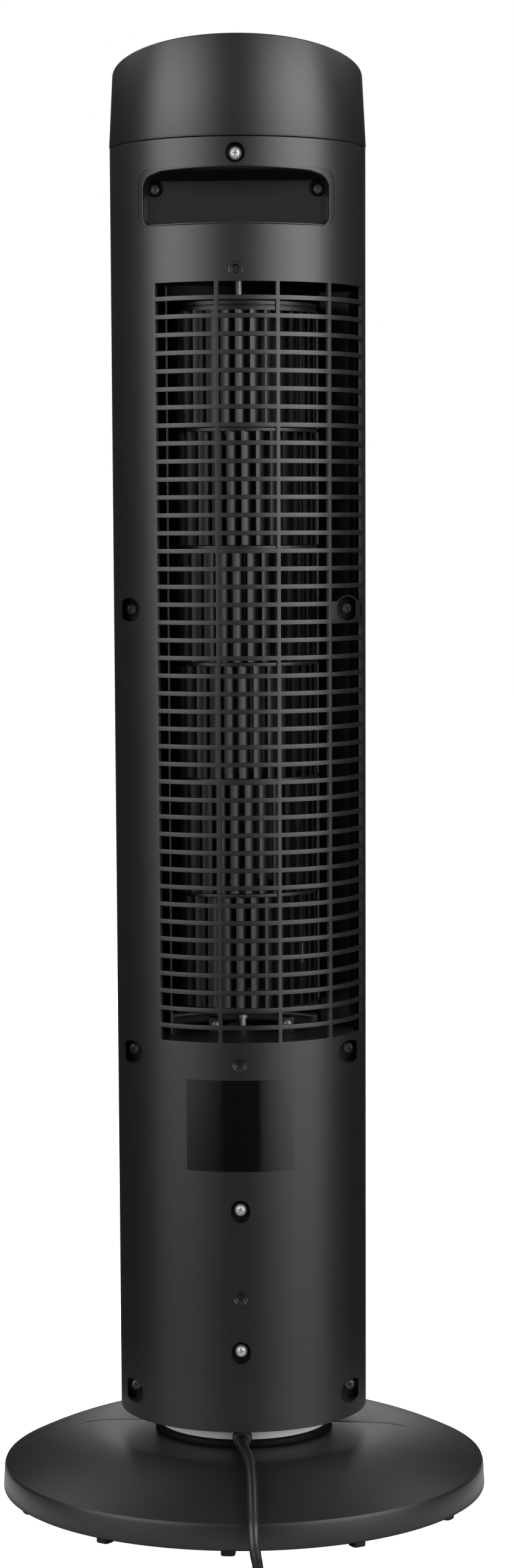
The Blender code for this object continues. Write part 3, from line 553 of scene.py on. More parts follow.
plug = unit_cube((0.0275, 0.0250, 0.0150))
move_by(plug, (plug_low.x + 0.0385, plug_y, 0.0075))
for vert in plug.verts:
    if vert.co.x < plug_low.x + 0.03:
        vert.co.y = plug_y + (vert.co.y - plug_y) * 0.62
        vert.co.z = 0.0075 + (vert.co.z - 0.0075) * 0.80
soften(plug, plug.edges[:], 0.0030, 4)
sleeve = ribbed_sleeve(0.0260, 0.0064, 0.0040, 5)
turn_by(sleeve, Matrix.Rotation(math.radians(-90), 3, "Y"))
move_by(sleeve, (plug_low.x + 0.0260, plug_y, 0.0078))
plug_piece = piece("mains_plug", all_of(plug, sleeve), RUBBER, "base", "power_plug")
blades = []
for side in (-1, 1):
    blade = unit_cube((0.0190, 0.0016, 0.0064))
    soften(blade, blade.edges[:], 0.0004, 2)
    move_by(blade, (plug_high.x - 0.0095, plug_y + side * 0.00635, 0.0075))
    blades.append(blade)
pin_piece = piece("plug_blades", all_of(*blades), BRASS, "base")
print("plug:", round(plug_high.x - plug_low.x, 4), "m long")

# %% Bush and tie
bush_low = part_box("strain_relief")[0]
bush_profile = [(0.0, 0.0081), (0.0040, 0.0081), (0.0047, 0.0079), (0.0056, 0.0072), (0.0060, 0.0062),
                (0.0061, 0.0040), (0.0060, 0.0032), (0.0057, 0.0029), (0.0057, 0.0023), (0.0062, 0.0019),
                (0.0062, 0.0002), (0.0041, 0.0), (0.0038, -0.0080), (0.0035, -0.0152), (0.0, -0.0154)]
bush = face_back(spun(bush_profile, 48, False), 0.0, 0.0485, bush_low.y + 0.0155)
piece("lead_bush", bush, RUBBER, "base", "strain_relief")
tie = unit_cube((TURNS[0] - TURNS[2] + LEAD_D + 0.0010, 0.0090, 0.0142))
soften(tie, [e for e in tie.edges if abs((e.verts[0].co - e.verts[1].co).normalized().y) > 0.9], 0.0035, 5)
ends = [f for f in tie.faces if abs(f.normal.y) > 0.9]
bmesh.ops.delete(tie, geom=ends, context="FACES")
move_by(tie, ((TURNS[0] + TURNS[2]) / 2, 0.0, 0.0079))
turn_by(tie, Matrix.Rotation(math.radians(-40), 3, "Z"))
move_by(tie, (COIL_X, COIL_Y, 0.0))
tie_piece = piece("lead_tie", tie, RUBBER, "base")
band = tie_piece.modifiers.new("thickness", "SOLIDIFY")
band.thickness = 0.0007
band.offset = 1.0
settle(tie_piece)
print("bush and tie made")

# %% [markdown]
# ## The rear casing
#
# One moulding: a curved wall 2.5 mm thick whose inlet is four columns of forty-three slots. A spin sweeps an
# upright line of points round the axis in stretches, so that its faces fall between the slots' edges. Deleting
# the faces of the slots, giving the rest a thickness and bevelling what is sharp leaves flat bars with a
# rounded edge, as the mould does.

# %% Grille layout
case_low, case_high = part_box("rear_casing")
COLUMN_R = case_high.x
WALL = 0.0025
ROWS, PITCH, BAR = 43, 0.01071, 0.0028
SLOT_TOP = 0.7588
COLUMNS = ((-38.5, -9.5), (-7.7, 17.7), (19.5, 44.9), (46.7, 76.0))
slot_bottoms = [SLOT_TOP - (ROWS - 1 - row) * PITCH - (PITCH - BAR) for row in range(ROWS)]


def wall_sweep(heights, stops, start, radius):
    """Sweep an upright line round the axis, one stretch of steps after another."""
    bm = bmesh.new()
    line = [bm.verts.new(on_column(start, radius, z)) for z in heights]
    geom = line + [bm.edges.new(pair) for pair in zip(line, line[1:])]
    angle = start
    for stop, steps in stops:
        swept = bmesh.ops.spin(bm, geom=geom, cent=(0, 0, 0), axis=(0, 0, 1), angle=math.radians(stop - angle),
                               steps=steps)
        geom = swept["geom_last"]
        angle = stop
    bmesh.ops.remove_doubles(bm, verts=bm.verts, dist=1e-6)
    bmesh.ops.recalc_face_normals(bm, faces=bm.faces)
    return bm


def open_where(bm, is_open):
    """Delete the faces whose middle is in an opening."""
    doomed = []
    for face in bm.faces:
        middle = face.calc_center_median()
        if is_open(math.degrees(math.atan2(-middle.x, middle.y)), middle.z):
            doomed.append(face)
    bmesh.ops.delete(bm, geom=doomed, context="FACES")
    return len(doomed)


def thicken(made, thickness, edge=0.00028, segments=2):
    """Give a swept wall its thickness, inwards, and round its sharp edges."""
    wall = made.modifiers.new("wall", "SOLIDIFY")
    wall.thickness = thickness
    wall.offset = -1.0
    wall.use_even_offset = True
    soft = made.modifiers.new("edges", "BEVEL")
    soft.width = edge
    soft.segments = segments
    soft.limit_method = "ANGLE"
    soft.angle_limit = math.radians(50)
    settle(made)
    return made


STEP = 1.83
stretches, angle = [], -89.7
for stop in [edge for column in COLUMNS for edge in column] + [89.7]:
    stretches.append((stop, max(1, round((stop - angle) / STEP))))
    angle = stop
levels = [case_low.z]
for low in slot_bottoms:
    levels += [low, low + PITCH - BAR]
levels.append(case_high.z)
wall = wall_sweep(levels, stretches, -89.7, COLUMN_R)


def in_slot(angle, z):
    """Say whether a place on the casing lies in a slot."""
    if not any(left < angle < right for left, right in COLUMNS):
        return False
    if COLUMNS[3][0] < angle < 72.0 and 0.5535 < z < 0.5712:
        return False
    return any(low < z < low + PITCH - BAR for low in slot_bottoms)


opened = open_where(wall, in_slot)
rear_case = piece("rear_case", wall, HOUSING, "column", "rear_casing")
thicken(rear_case, WALL)
print("rear casing:", opened, "faces opened,", len(rear_case.data.polygons), "faces in all")

# %% [markdown]
# ## Wells in the rear casing
#
# Long-shafted screwdrivers reach the casing screws through wells that run straight to the front. On the centre
# line they are shallow slots, near the sides they are deep D-shaped tunnels. Each well is a cup: a disc
# extruded to a block, its end inset and pushed back in. The casing is carved a little wider than the cup,
# which leaves the fine step round its mouth.

# %% Well shapes
def well_disc(width, height, flat=None):
    """Return the outline of a well, a circle drawn out upright and cut flat on one side."""
    bm = bmesh.new()
    bmesh.ops.create_circle(bm, cap_ends=True, segments=48, radius=width / 2)
    for vert in bm.verts:
        vert.co.y += math.copysign((height - width) / 2, vert.co.y) if abs(vert.co.y) > 1e-6 else 0.0
        if flat is not None:
            vert.co.x = min(vert.co.x, flat) if flat > 0 else max(vert.co.x, flat)
    return bm


def well_block(width, height, near, far, flat=None):
    """Return a solid of a well's outline between two depths."""
    bm = well_disc(width, height, flat)
    bmesh.ops.remove_doubles(bm, verts=bm.verts, dist=1e-6)
    move_by(bm, (0, 0, near))
    grown = bmesh.ops.extrude_face_region(bm, geom=bm.faces[:])["geom"]
    bmesh.ops.translate(bm, verts=[v for v in grown if isinstance(v, bmesh.types.BMVert)],
                        vec=(0, 0, far - near))
    bmesh.ops.recalc_face_normals(bm, faces=bm.faces)
    return bm


def well_cup(width, height, near, far, floor=0.0015, side=0.0012, flat=None):
    """Return a cup open at its far end."""
    outer = None if flat is None else flat + math.copysign(side, flat)
    bm = well_block(width + 2 * side, height + 2 * side, near, far, outer)
    mouth = [f for f in bm.faces if f.normal.z > 0.9]
    bmesh.ops.inset_region(bm, faces=mouth, thickness=side, use_even_offset=True)
    bmesh.ops.translate(bm, verts=list({v for f in mouth for v in f.verts}), vec=(0, 0, near + floor - far))
    return bm


SIDE_WELLS = (("left_upper", 0.0668, 0.5640, 0.0128, 0.0140), ("right_upper", -0.0668, 0.5640, 0.0128, 0.0140),
              ("left_middle", 0.0674, 0.2900, 0.0126, 0.0142), ("right_middle", -0.0674, 0.2900, 0.0126, 0.0142),
              ("left_lower", 0.0684, 0.0738, 0.0120, 0.0144), ("right_lower", -0.0684, 0.0738, 0.0120, 0.0144))
CENTRE_WELLS = (("top", 0.8337, 0.0112, 0.0114), ("middle", 0.1963, 0.0113, 0.0136),
                ("bottom", 0.1075, 0.0113, 0.0136))
column_core = (0.0, 0.040), (COLUMN_R - 0.0007, 0.040), (COLUMN_R - 0.0007, 0.860), (0.0, 0.860)
cups, mouths = [], []
for name, x, z, width, height in SIDE_WELLS:
    flat = math.copysign(width * 0.37, x)
    cups.append((name, face_back(well_cup(width, height, 0.0205, 0.080, flat=flat), x, z)))
    mouths.append(face_back(well_block(width + 0.0005, height + 0.0005, 0.0215, 0.090,
                                       flat + math.copysign(0.00025, x)), x, z))
for name, z, width, height in CENTRE_WELLS:
    cups.append((name, face_back(well_cup(width, height, 0.0690, 0.080), 0.0, z)))
    mouths.append(face_back(well_block(width + 0.0006, height + 0.0006, 0.0710, 0.090), 0.0, z))
for name, cup in cups:
    made = piece("well_" + name, cup, HOUSING, "column", sharp=40.0)
    carve(made, spun(column_core, 128, False), "INTERSECT")
    smoothed(made, 40.0)
print("wells:", len(cups))

# %% Ejector rings and the casing's holes
RINGS = (0.7659, 0.2882, 0.1424)
ring_profile = [(0.0, -0.0022), (0.0021, -0.0022), (0.0025, -0.0018), (0.0026, -0.0008), (0.0030, -0.0004),
                (0.0040, -0.0004), (0.0044, -0.0001), (0.0047, -0.0001), (0.0049, -0.0006), (0.0049, -0.0030),
                (0.0, -0.0030)]
for number, z in enumerate(RINGS, 1):
    ring = face_back(spun(ring_profile, 40, False), 0.0, z, COLUMN_R)
    piece("ejector_ring_%d" % number, ring, HOUSING, "column")
    mouths.append(face_back(rod(0.0048, 0.070, 0.090, 40), 0.0, z))


def grip_outline(half_width, low, high, corner):
    """Return a face shaped as a rectangle with round corners, in x and z."""
    bm = bmesh.new()
    bmesh.ops.create_grid(bm, x_segments=1, y_segments=1, size=0.5)
    scale_by(bm, (2 * half_width, high - low, 1.0))
    bmesh.ops.bevel(bm, geom=bm.verts[:], offset=corner, segments=8, profile=0.5, affect="VERTICES", material=-1)
    return bm


def grip_block(half_width, low, high, corner, near, far):
    """Return a rounded block along Y for the grip opening."""
    bm = grip_outline(half_width, low, high, corner)
    move_by(bm, (0, 0, near))
    grown = bmesh.ops.extrude_face_region(bm, geom=bm.faces[:])["geom"]
    bmesh.ops.translate(bm, verts=[v for v in grown if isinstance(v, bmesh.types.BMVert)],
                        vec=(0, 0, far - near))
    bmesh.ops.recalc_face_normals(bm, faces=bm.faces)
    return face_back(bm, 0.0, (low + high) / 2)


GRIP_LOW, GRIP_HIGH = 0.7919, 0.8261
for mouth in mouths:
    carve(rear_case, mouth)
carve(rear_case, grip_block(0.0588, GRIP_LOW, GRIP_HIGH, 0.0070, 0.030, 0.100))
smoothed(rear_case)
print("casing carved:", len(rear_case.data.polygons), "faces")

# %% [markdown]
# ## The grip tray
#
# Fingers lift the fan in a tray behind the casing: a narrow bright lip, a slanted ceiling, and a flat back
# wall with two screws sunk in cups. The tray starts as a block; its back face is cut away in three insets,
# each pushed further in, which makes the sloping sides without any drawing of points.

# %% Grip tray
BACK_Y = 0.0500
tray = grip_outline(0.0594, GRIP_LOW - 0.0006, GRIP_HIGH + 0.0006, 0.0074)
move_by(tray, (0, 0, BACK_Y - 0.0030))
grown = bmesh.ops.extrude_face_region(tray, geom=tray.faces[:])["geom"]
bmesh.ops.translate(tray, verts=[v for v in grown if isinstance(v, bmesh.types.BMVert)], vec=(0, 0, 0.0350))
bmesh.ops.recalc_face_normals(tray, faces=tray.faces)
mouth = [f for f in tray.faces if f.normal.z > 0.9]
bmesh.ops.inset_region(tray, faces=mouth, thickness=0.0016, use_even_offset=True)


def push_in(faces, depth, width, height, rise):
    """Move a mouth inwards and change its size about its middle."""
    verts = list({v for f in faces for v in f.verts})
    middle = sum((v.co for v in verts), Vector()) / len(verts)
    for vert in verts:
        vert.co.x = vert.co.x * width
        vert.co.y = middle.y + (vert.co.y - middle.y) * height + rise
        vert.co.z -= depth


for depth, width, height, rise in ((0.0180, 0.985, 0.955, 0.0006), (0.0090, 0.975, 0.890, 0.0016),
                                   (0.0047, 0.960, 0.975, 0.0002)):
    bmesh.ops.inset_region(tray, faces=mouth, thickness=0.00002)
    push_in(mouth, depth, width, height, rise)
face_back(tray, 0.0, (GRIP_LOW + GRIP_HIGH) / 2)
# The tray takes the darker black, which is painted shade for the recess.
grip_tray = piece("grip_tray", tray, TRAY_SHADE_BLACK, "column", "grip_pocket", sharp=28.0)
carve(grip_tray, spun([(0.0, 0.700), (COLUMN_R - 0.0002, 0.700), (COLUMN_R - 0.0002, 0.860), (0.0, 0.860)],
                      160, False), "INTERSECT")
shell = bmesh.new()
shell.from_mesh(grip_tray.data)
lip = [e for e in shell.edges if len(e.link_faces) == 2 and e.calc_face_angle() > 0.6
       and all(abs(math.hypot(v.co.x, v.co.y) - COLUMN_R) < 0.0006 and abs(v.co.x) < 0.0588
               and GRIP_LOW + 0.0003 < v.co.z < GRIP_HIGH - 0.0003 for v in e.verts)]
soften(shell, lip, 0.0011, 4)
shell.to_mesh(grip_tray.data)
shell.free()
print("grip lip:", len(lip), "edges rounded")
GRIP_SCREWS = (("grip_screw_left", 0.0490), ("grip_screw_right", -0.0490))
for name, x in GRIP_SCREWS:
    carve(grip_tray, face_back(rod(0.0053, 0.0420, 0.0600, 40), x, 0.8155))
smoothed(grip_tray, 28.0)
for name, x in GRIP_SCREWS:
    cup = face_back(well_cup(0.0106, 0.0106, 0.0400, 0.0505, 0.0020, 0.0008), x, 0.8155)
    # The cups take the same darker black, painted shade in the recess.
    piece(name.replace("screw", "cup"), cup, TRAY_SHADE_BLACK, "column")
print("grip tray:", len(grip_tray.data.polygons), "faces")

# %% Grip rim
rim = grip_outline(0.0587, GRIP_LOW + 0.0001, GRIP_HIGH - 0.0001, 0.0069)
bmesh.ops.inset_region(rim, faces=rim.faces[:], thickness=0.0017, use_even_offset=True, use_boundary=True)
bmesh.ops.delete(rim, geom=[max(rim.faces, key=lambda f: f.calc_area())], context="FACES")
for cut in range(-9, 10):
    bmesh.ops.bisect_plane(rim, geom=rim.verts[:] + rim.edges[:] + rim.faces[:], plane_co=(cut * 0.0055, 0, 0),
                           plane_no=(1, 0, 0))
grown = bmesh.ops.extrude_face_region(rim, geom=rim.faces[:])["geom"]
outer_verts = {v for v in grown if isinstance(v, bmesh.types.BMVert)}
for vert in rim.verts:
    vert.co.z = math.sqrt(COLUMN_R ** 2 - vert.co.x ** 2) - (0.0009 if vert in outer_verts else 0.0040)
bmesh.ops.recalc_face_normals(rim, faces=rim.faces)
lines = [e for e in rim.edges if len(e.link_faces) == 2 and e.calc_face_angle() > 0.9
         and all(v in outer_verts for v in e.verts)]
soften(rim, lines, 0.0006, 3)
face_back(rim, 0.0, (GRIP_LOW + GRIP_HIGH) / 2)
piece("grip_rim", rim, HOUSING, "column", sharp=40.0)
print("grip rim:", len(lines), "edges rounded")

# %% [markdown]
# ## Cross-head screws
#
# A pan head is a spun profile. Its cross is two narrow slots, carved by one tapered bar at two turns.

# %% Screws
def screw_head(radius):
    """Return a pan-head screw along Z with a cross recess."""
    profile = [(0.0, 0.66), (0.30, 0.65), (0.62, 0.58), (0.86, 0.42), (0.97, 0.22), (1.0, 0.05), (0.98, 0.0),
               (0.46, 0.0), (0.46, -2.9), (0.30, -3.2), (0.0, -3.4)]
    return spun([(r * radius, z * radius) for r, z in profile], 32, False)


def place_screw(node, look, turn):
    """Stand a detailed screw where its plain solid is."""
    low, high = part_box(node)
    radius = (high.x - low.x) / 2
    seat = high.y - 0.0027 * radius / 0.0041 + (0.0014 if look is ZINC else 0.0)
    spot = ((low.x + high.x) / 2, (low.z + high.z) / 2)
    spin = Matrix.Rotation(math.radians(turn), 3, "Z")
    head = screw_head(radius)
    turn_by(head, spin)
    made = piece(node + "_detail", face_back(head, spot[0], spot[1], seat), look, "column", node)
    for bar_turn in (0.0, 90.0):
        bar = unit_cube((1.15 * radius, 0.24 * radius, 0.9 * radius))
        for vert in bar.verts:
            if vert.co.z < 0:
                vert.co.x *= 0.42
                vert.co.y *= 0.7
        move_by(bar, (0, 0, 0.62 * radius))
        turn_by(bar, spin @ Matrix.Rotation(math.radians(bar_turn), 3, "Z"))
        carve(made, face_back(bar, spot[0], spot[1], seat))
    return smoothed(made, 30.0)


turns = (12, 38, 64, 5, 71, 24, 50, 33, 80, 17, 59)
screw_nodes = [n for n in sorted(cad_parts) if "screw" in n]
for node, turn in zip(screw_nodes, turns):
    bright = node in ("casing_screw_top", "casing_screw_middle", "casing_screw_bottom")
    place_screw(node, ZINC if bright else DARK_SCREW, turn)
print("screws:", len(screw_nodes))

# %% [markdown]
# ## The rating plate
#
# A glossy film that follows the casing. It is only a sheet a fraction of a millimetre thick, but its mirror
# finish against the grained housing is what makes it read. Its print is left out.

# %% Rating plate
plate_low, plate_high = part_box("label_plate")
plate = wall_sweep([plate_low.z, plate_high.z], [(24.6, 32)], -24.6, COLUMN_R + 0.00045)
plate_piece = piece("rating_plate", plate, GLOSS, "column", "label_plate")
film = plate_piece.modifiers.new("film", "SOLIDIFY")
film.thickness = 0.0004
film.offset = -1.0
settle(plate_piece)
smoothed(plate_piece)
print("rating plate:", round(plate_high.z - plate_low.z, 4), "m tall")

# %% [markdown]
# ## The impeller
#
# A cross-flow impeller is a squirrel cage: thirty-four forward-curved blades between discs, in six mouldings
# stacked on one another, each turned a little further than the last. One blade is a short curved strip that a
# spin sweeps through a small arc; it is thickened, drawn down, and copied round the axis.

# %% Blades
IMPELLER_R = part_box("impeller_segment_2")[1].x
BLADE_COUNT = 34
INNER_R = 0.0437
BLADE_SWEEP = math.radians(7.5)
STAGGER = 4.0
CAMBER = 0.0062


def blade_strip(top, bottom):
    """Return one curved blade that starts at the rim and leans inwards and on."""
    rim = Vector((0.0, IMPELLER_R - 0.0004))
    inner = Vector((-INNER_R * math.sin(BLADE_SWEEP), INNER_R * math.cos(BLADE_SWEEP)))
    chord = inner - rim
    middle = (rim + inner) / 2
    normal = Vector((-chord.y, chord.x)).normalized()
    centre = middle + normal * CAMBER
    sweep = 2 * math.asin(chord.length / 2 / math.hypot(chord.length / 2, CAMBER))
    for turn in (sweep, -sweep):
        bm = bmesh.new()
        ends = [bm.verts.new((rim.x, rim.y, bottom)), bm.verts.new((rim.x, rim.y, top))]
        turned = bmesh.ops.spin(bm, geom=ends + [bm.edges.new(ends)], cent=(centre.x, centre.y, 0),
                                axis=(0, 0, 1), angle=turn, steps=7)
        end = [v.co for v in turned["geom_last"] if isinstance(v, bmesh.types.BMVert)][0]
        if turn < 0 or (end.xy - inner).length <= 0.002:
            break
        bm.free()
    bmesh.ops.solidify(bm, geom=bm.faces[:], thickness=0.0010)
    return bm


def blade_ring(first, top, bottom):
    """Copy one blade round the axis."""
    bm = blade_strip(top, bottom)
    turn_by(bm, Matrix.Rotation(math.radians(first), 3, "Z"))
    bmesh.ops.spin(bm, geom=bm.verts[:] + bm.edges[:] + bm.faces[:], cent=(0, 0, 0), axis=(0, 0, 1),
                   angle=math.tau * (BLADE_COUNT - 1) / BLADE_COUNT, steps=BLADE_COUNT - 1, use_duplicate=True)
    return bm


for index in range(6):
    node = "impeller_segment_%d" % (index + 1)
    low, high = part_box(node)
    if index == 0:
        disc = [(0.0405, high.z - 0.0002), (0.0470, high.z - 0.0002), (IMPELLER_R, high.z - 0.0006),
                (IMPELLER_R, high.z - 0.0026), (IMPELLER_R - 0.0009, high.z - 0.0030),
                (IMPELLER_R - 0.0009, high.z - 0.0034), (IMPELLER_R, high.z - 0.0038),
                (IMPELLER_R, high.z - 0.0060), (0.0405, high.z - 0.0060)]
        under = high.z - 0.0060
    else:
        disc = rounded([(0.0407, high.z), (IMPELLER_R, high.z), (IMPELLER_R, high.z - 0.0025),
                        (0.0407, high.z - 0.0025)], 0.0005)
        under = high.z - 0.0025
    rings = all_of(spun(disc, 136), blade_ring(-1.6 + index * STAGGER, under + 0.0005, low.z))
    piece("impeller_ring_%d" % (index + 1), rings, IMPELLER, "impeller", node, sharp=38.0)
print("impeller: six rings of", BLADE_COUNT, "blades, radius", round(IMPELLER_R, 4))

# %% Shafts and the bottom disc
top_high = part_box("impeller_top_shaft")[1]
top_high.z += 0.0040
collar_z = 0.7500
shaft_top = [(0.0, top_high.z), (0.0018, top_high.z), (0.0022, top_high.z - 0.0004), (0.0022, collar_z + 0.0030),
             (0.0085, collar_z + 0.0030), (0.0105, collar_z + 0.0005), (0.0360, collar_z - 0.0012),
             (0.0404, collar_z - 0.0012), (0.0404, collar_z - 0.0040), (0.0, collar_z - 0.0040)]
cap_disc = spun(rounded(shaft_top[4:], [0, 0.0008, 0.004, 0.0005, 0.0004, 0]), 96, False)
piece("impeller_end_disc", cap_disc, IMPELLER, "impeller", "impeller_top_shaft")
piece("impeller_top_pin", spun(shaft_top[:4] + [(0.0, collar_z + 0.0030)], 40, False), SHAFT, "impeller")
drive_low, drive_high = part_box("impeller_drive_shaft")
disc_low = drive_high.z - 0.0040
bottom_disc = rounded([(0.0, drive_high.z - 0.0012), (0.0400, drive_high.z - 0.0012), (IMPELLER_R, drive_high.z),
                       (IMPELLER_R, disc_low), (0.0, disc_low)], [0, 0.0008, 0.0006, 0.0008, 0])
piece("impeller_bottom_disc", spun(bottom_disc, 96, False), IMPELLER, "impeller", "impeller_drive_shaft")
sleeve = [(0.0, disc_low), (0.0035, disc_low), (0.0035, disc_low - 0.0086), (0.0031, disc_low - 0.0090),
          (0.0, disc_low - 0.0090)]
piece("drive_sleeve", spun(sleeve, 40, False), SHAFT, "impeller")
stub = [(0.0, disc_low - 0.0050), (0.0026, disc_low - 0.0050), (0.0026, drive_low.z + 0.0005),
        (0.0022, drive_low.z), (0.0, drive_low.z)]
piece("motor_shaft_pin", spun(stub, 40, False), SHAFT, "impeller")
clip_profile = [(0.0, 0.3570), (0.0009, 0.3570), (0.0009, 0.3448), (0.0, 0.3448)]
pin = spun(rounded(clip_profile, [0, 0.0004, 0.0004, 0]), 16, False)
move_by(pin, on_column(51.9, IMPELLER_R - 0.0006, 0.0))
piece("balance_clip", pin, SHAFT, "impeller")
bearing = rounded([(0.0023, 0.7650), (0.0102, 0.7650), (0.0102, 0.7690), (0.0023, 0.7690)], 0.0005)
piece("upper_bearing_ring", spun(bearing, 48), RUBBER, "column", "upper_bearing")
duct_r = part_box("duct_top_plate")[1].x
duct_top = rounded([(0.0090, 0.7666), (duct_r, 0.7666), (duct_r, 0.7686), (0.0090, 0.7686)], 0.0004)
piece("duct_top", spun(duct_top, 96), DUCT_BLACK, "column", "duct_top_plate")
print("shafts from", round(drive_low.z, 3), "to", round(top_high.z, 3))

# %% [markdown]
# ## The front casing and its outlet
#
# The front half is the same wall without slots in rows, but with one tall opening. Its grille is a separate
# moulding: upright slats joined by two cross bars. It is hidden from behind, yet the fan is seen from all sides.

# %% Front casing
out_low, out_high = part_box("outlet_grille")
OUTLET_HALF = 46.0
front_levels = [case_low.z, out_low.z - 0.0003, out_high.z + 0.0003, case_high.z]
front_wall = wall_sweep(front_levels, [(180.0 - OUTLET_HALF, 22), (180.0 + OUTLET_HALF, 44), (269.7, 22)], 90.1,
                        COLUMN_R)
open_where(front_wall, lambda angle, z: abs(angle) > 180.0 - OUTLET_HALF and front_levels[1] < z < front_levels[2])
front_case = piece("front_case", front_wall, HOUSING, "column", "front_casing")
thicken(front_case, WALL, 0.0005, 3)
smoothed(front_case)
posts = []
for name, x, z, width, height in SIDE_WELLS:
    posts.append(face_back(rod(0.0046, -0.0120, 0.0170, 32), x * 0.99, z))
piece("front_posts", all_of(*posts), DUCT_BLACK, "column")
print("front casing:", len(front_case.data.polygons), "faces")

# %% Outlet grille
SLATS = 21
half = OUTLET_HALF - 0.35
edge_angle, slat_angle = 2.0, 0.9
field = 2 * half - 2 * edge_angle
gap_angle = (field - (SLATS - 1) * slat_angle) / SLATS
stretches = [(180.0 - half + edge_angle, 2)]
gaps = []
angle = stretches[-1][0]
for slat in range(SLATS):
    gaps.append((angle, angle + gap_angle))
    angle += gap_angle
    stretches.append((angle, 2))
    if slat < SLATS - 1:
        angle += slat_angle
        stretches.append((angle, 1))
stretches.append((180.0 + half, 2))
rows = 3
frame_edge = 0.0045
cell = (out_high.z - out_low.z - 2 * frame_edge) / rows
grid_levels = [out_low.z, out_low.z + frame_edge]
for row in range(1, rows):
    middle = out_low.z + frame_edge + row * cell
    grid_levels += [middle - 0.0012, middle + 0.0012]
grid_levels += [out_high.z - frame_edge, out_high.z]
grille = wall_sweep(grid_levels, stretches, 180.0 - half, COLUMN_R - 0.0004)


def in_gap(angle, z):
    """Say whether a place on the outlet grille lies between its slats."""
    turn = angle % 360.0
    between = any(left < turn < right for left, right in gaps)
    return between and any(grid_levels[i] < z < grid_levels[i + 1] for i in range(1, len(grid_levels) - 1, 2))


open_where(grille, in_gap)
grille_piece = piece("outlet_slats", grille, HOUSING, "column", "outlet_grille")
thicken(grille_piece, 0.0040, 0.0003, 2)
smoothed(grille_piece)
print("outlet:", SLATS, "gaps by", rows, "rows")

# %% [markdown]
# ## Louvre vanes
#
# Behind the outlet grille a stack of slanted vanes turns the air and hides the impeller. Each vane is one
# short slanted line swept round the opening. The vanes overlap in height, so no light comes straight through.

# %% Louvre vanes
VANES = 40
vane_step = (out_high.z - out_low.z - 0.004) / VANES
vanes = bmesh.new()
for number in range(VANES):
    low = out_low.z + 0.001 + number * vane_step
    slant_line = [vanes.verts.new(on_column(180.0 - OUTLET_HALF + 1.5, radius, z))
                  for radius, z in ((0.0610, low), (0.0670, low + 0.0048), (0.0720, low + vane_step + 0.0030))]
    edges = [vanes.edges.new(pair) for pair in zip(slant_line, slant_line[1:])]
    bmesh.ops.spin(vanes, geom=slant_line + edges, cent=(0, 0, 0), axis=(0, 0, 1),
                   angle=math.radians(2 * OUTLET_HALF - 3.0), steps=24)
vane_piece = piece("outlet_vanes", vanes, DUCT_BLACK, "column")
vane_skin = vane_piece.modifiers.new("thickness", "SOLIDIFY")
vane_skin.thickness = 0.0010
vane_skin.offset = 0.0
settle(vane_piece)
print("louvre vanes:", VANES, "every", round(vane_step, 4), "m")

# %% [markdown]
# ## The top cap and the control panel
#
# The cap is a tapered ring, cut on the slant: bisecting a spun wall with a plane leaves the rim, which a fill
# closes and a bevel softens. The panel lies just below that rim with four push buttons near its front edge.

# %% Top cap
SLOPE = math.radians(12.2)
PANEL_Z = 0.8868
cap_low, cap_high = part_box("top_cap")
up = Vector((0.0, -math.sin(SLOPE), math.cos(SLOPE)))
cap_low_r, cap_fall = 0.07875, 0.0522
high_z = 0.9200
high_r = cap_low_r - cap_fall * (high_z - cap_low.z)
cap_profile = [(high_r, high_z), (cap_low_r, cap_low.z + 0.0016), (cap_low_r - 0.0003, cap_low.z + 0.0003),
               (cap_low_r - 0.0009, cap_low.z), (cap_low_r - 0.0024, cap_low.z), (high_r - 0.0024, high_z)]
cap = spun(cap_profile, 160)
bmesh.ops.bisect_plane(cap, geom=cap.verts[:] + cap.edges[:] + cap.faces[:], plane_co=(0, 0, PANEL_Z),
                       plane_no=up, clear_outer=True)
rim_edges = [e for e in cap.edges if e.is_boundary]
bmesh.ops.bridge_loops(cap, edges=rim_edges)
bmesh.ops.recalc_face_normals(cap, faces=cap.faces)
rim = [e for e in cap.edges if len(e.link_faces) == 2
       and all(abs((v.co - Vector((0, 0, PANEL_Z))).dot(up)) < 1e-5 for v in e.verts)
       and e.calc_face_angle() > 0.5]
soften(cap, rim, 0.0009, 3)
piece("cap_ring", cap, HOUSING, "column", "top_cap", sharp=35.0)
print("cap: rim", round(cap_high.z, 4), "m at the back")

# %% Control panel and buttons
def slant(bm):
    """Tilt a level shape into the panel's plane."""
    turn_by(bm, Matrix.Rotation(SLOPE, 3, "X"))
    move_by(bm, (0, 0, PANEL_Z))
    return bm


BUTTONS = ("power_button", "speed_button", "swing_button", "timer_button")
BUTTON_X = (-0.033, -0.011, 0.011, 0.033)
BUTTON_V = -0.034
panel_profile = rounded([(0.0, -0.0012), (0.0744, -0.0012), (0.0744, -0.0037), (0.0, -0.0037)],
                        [0, 0.0006, 0.0003, 0])
panel = piece("panel_face", slant(spun(panel_profile, 128, False)), PANEL_GLOSS, "column", "control_panel")
carve(panel, spun([(0.0, 0.80), (0.0729, 0.80), (0.0729, 0.95), (0.0, 0.95)], 128, False), "INTERSECT")
for x in BUTTON_X:
    hole = rod(0.0059, -0.010, 0.010, 40)
    move_by(hole, (x, BUTTON_V, 0))
    carve(panel, slant(hole))
smoothed(panel)
button_profile = [(0.0, -0.0002), (0.0030, -0.0001), (0.0046, 0.0001), (0.0053, -0.0004), (0.0055, -0.0012),
                  (0.0055, -0.0041), (0.0070, -0.0041), (0.0070, -0.0051), (0.0, -0.0051)]
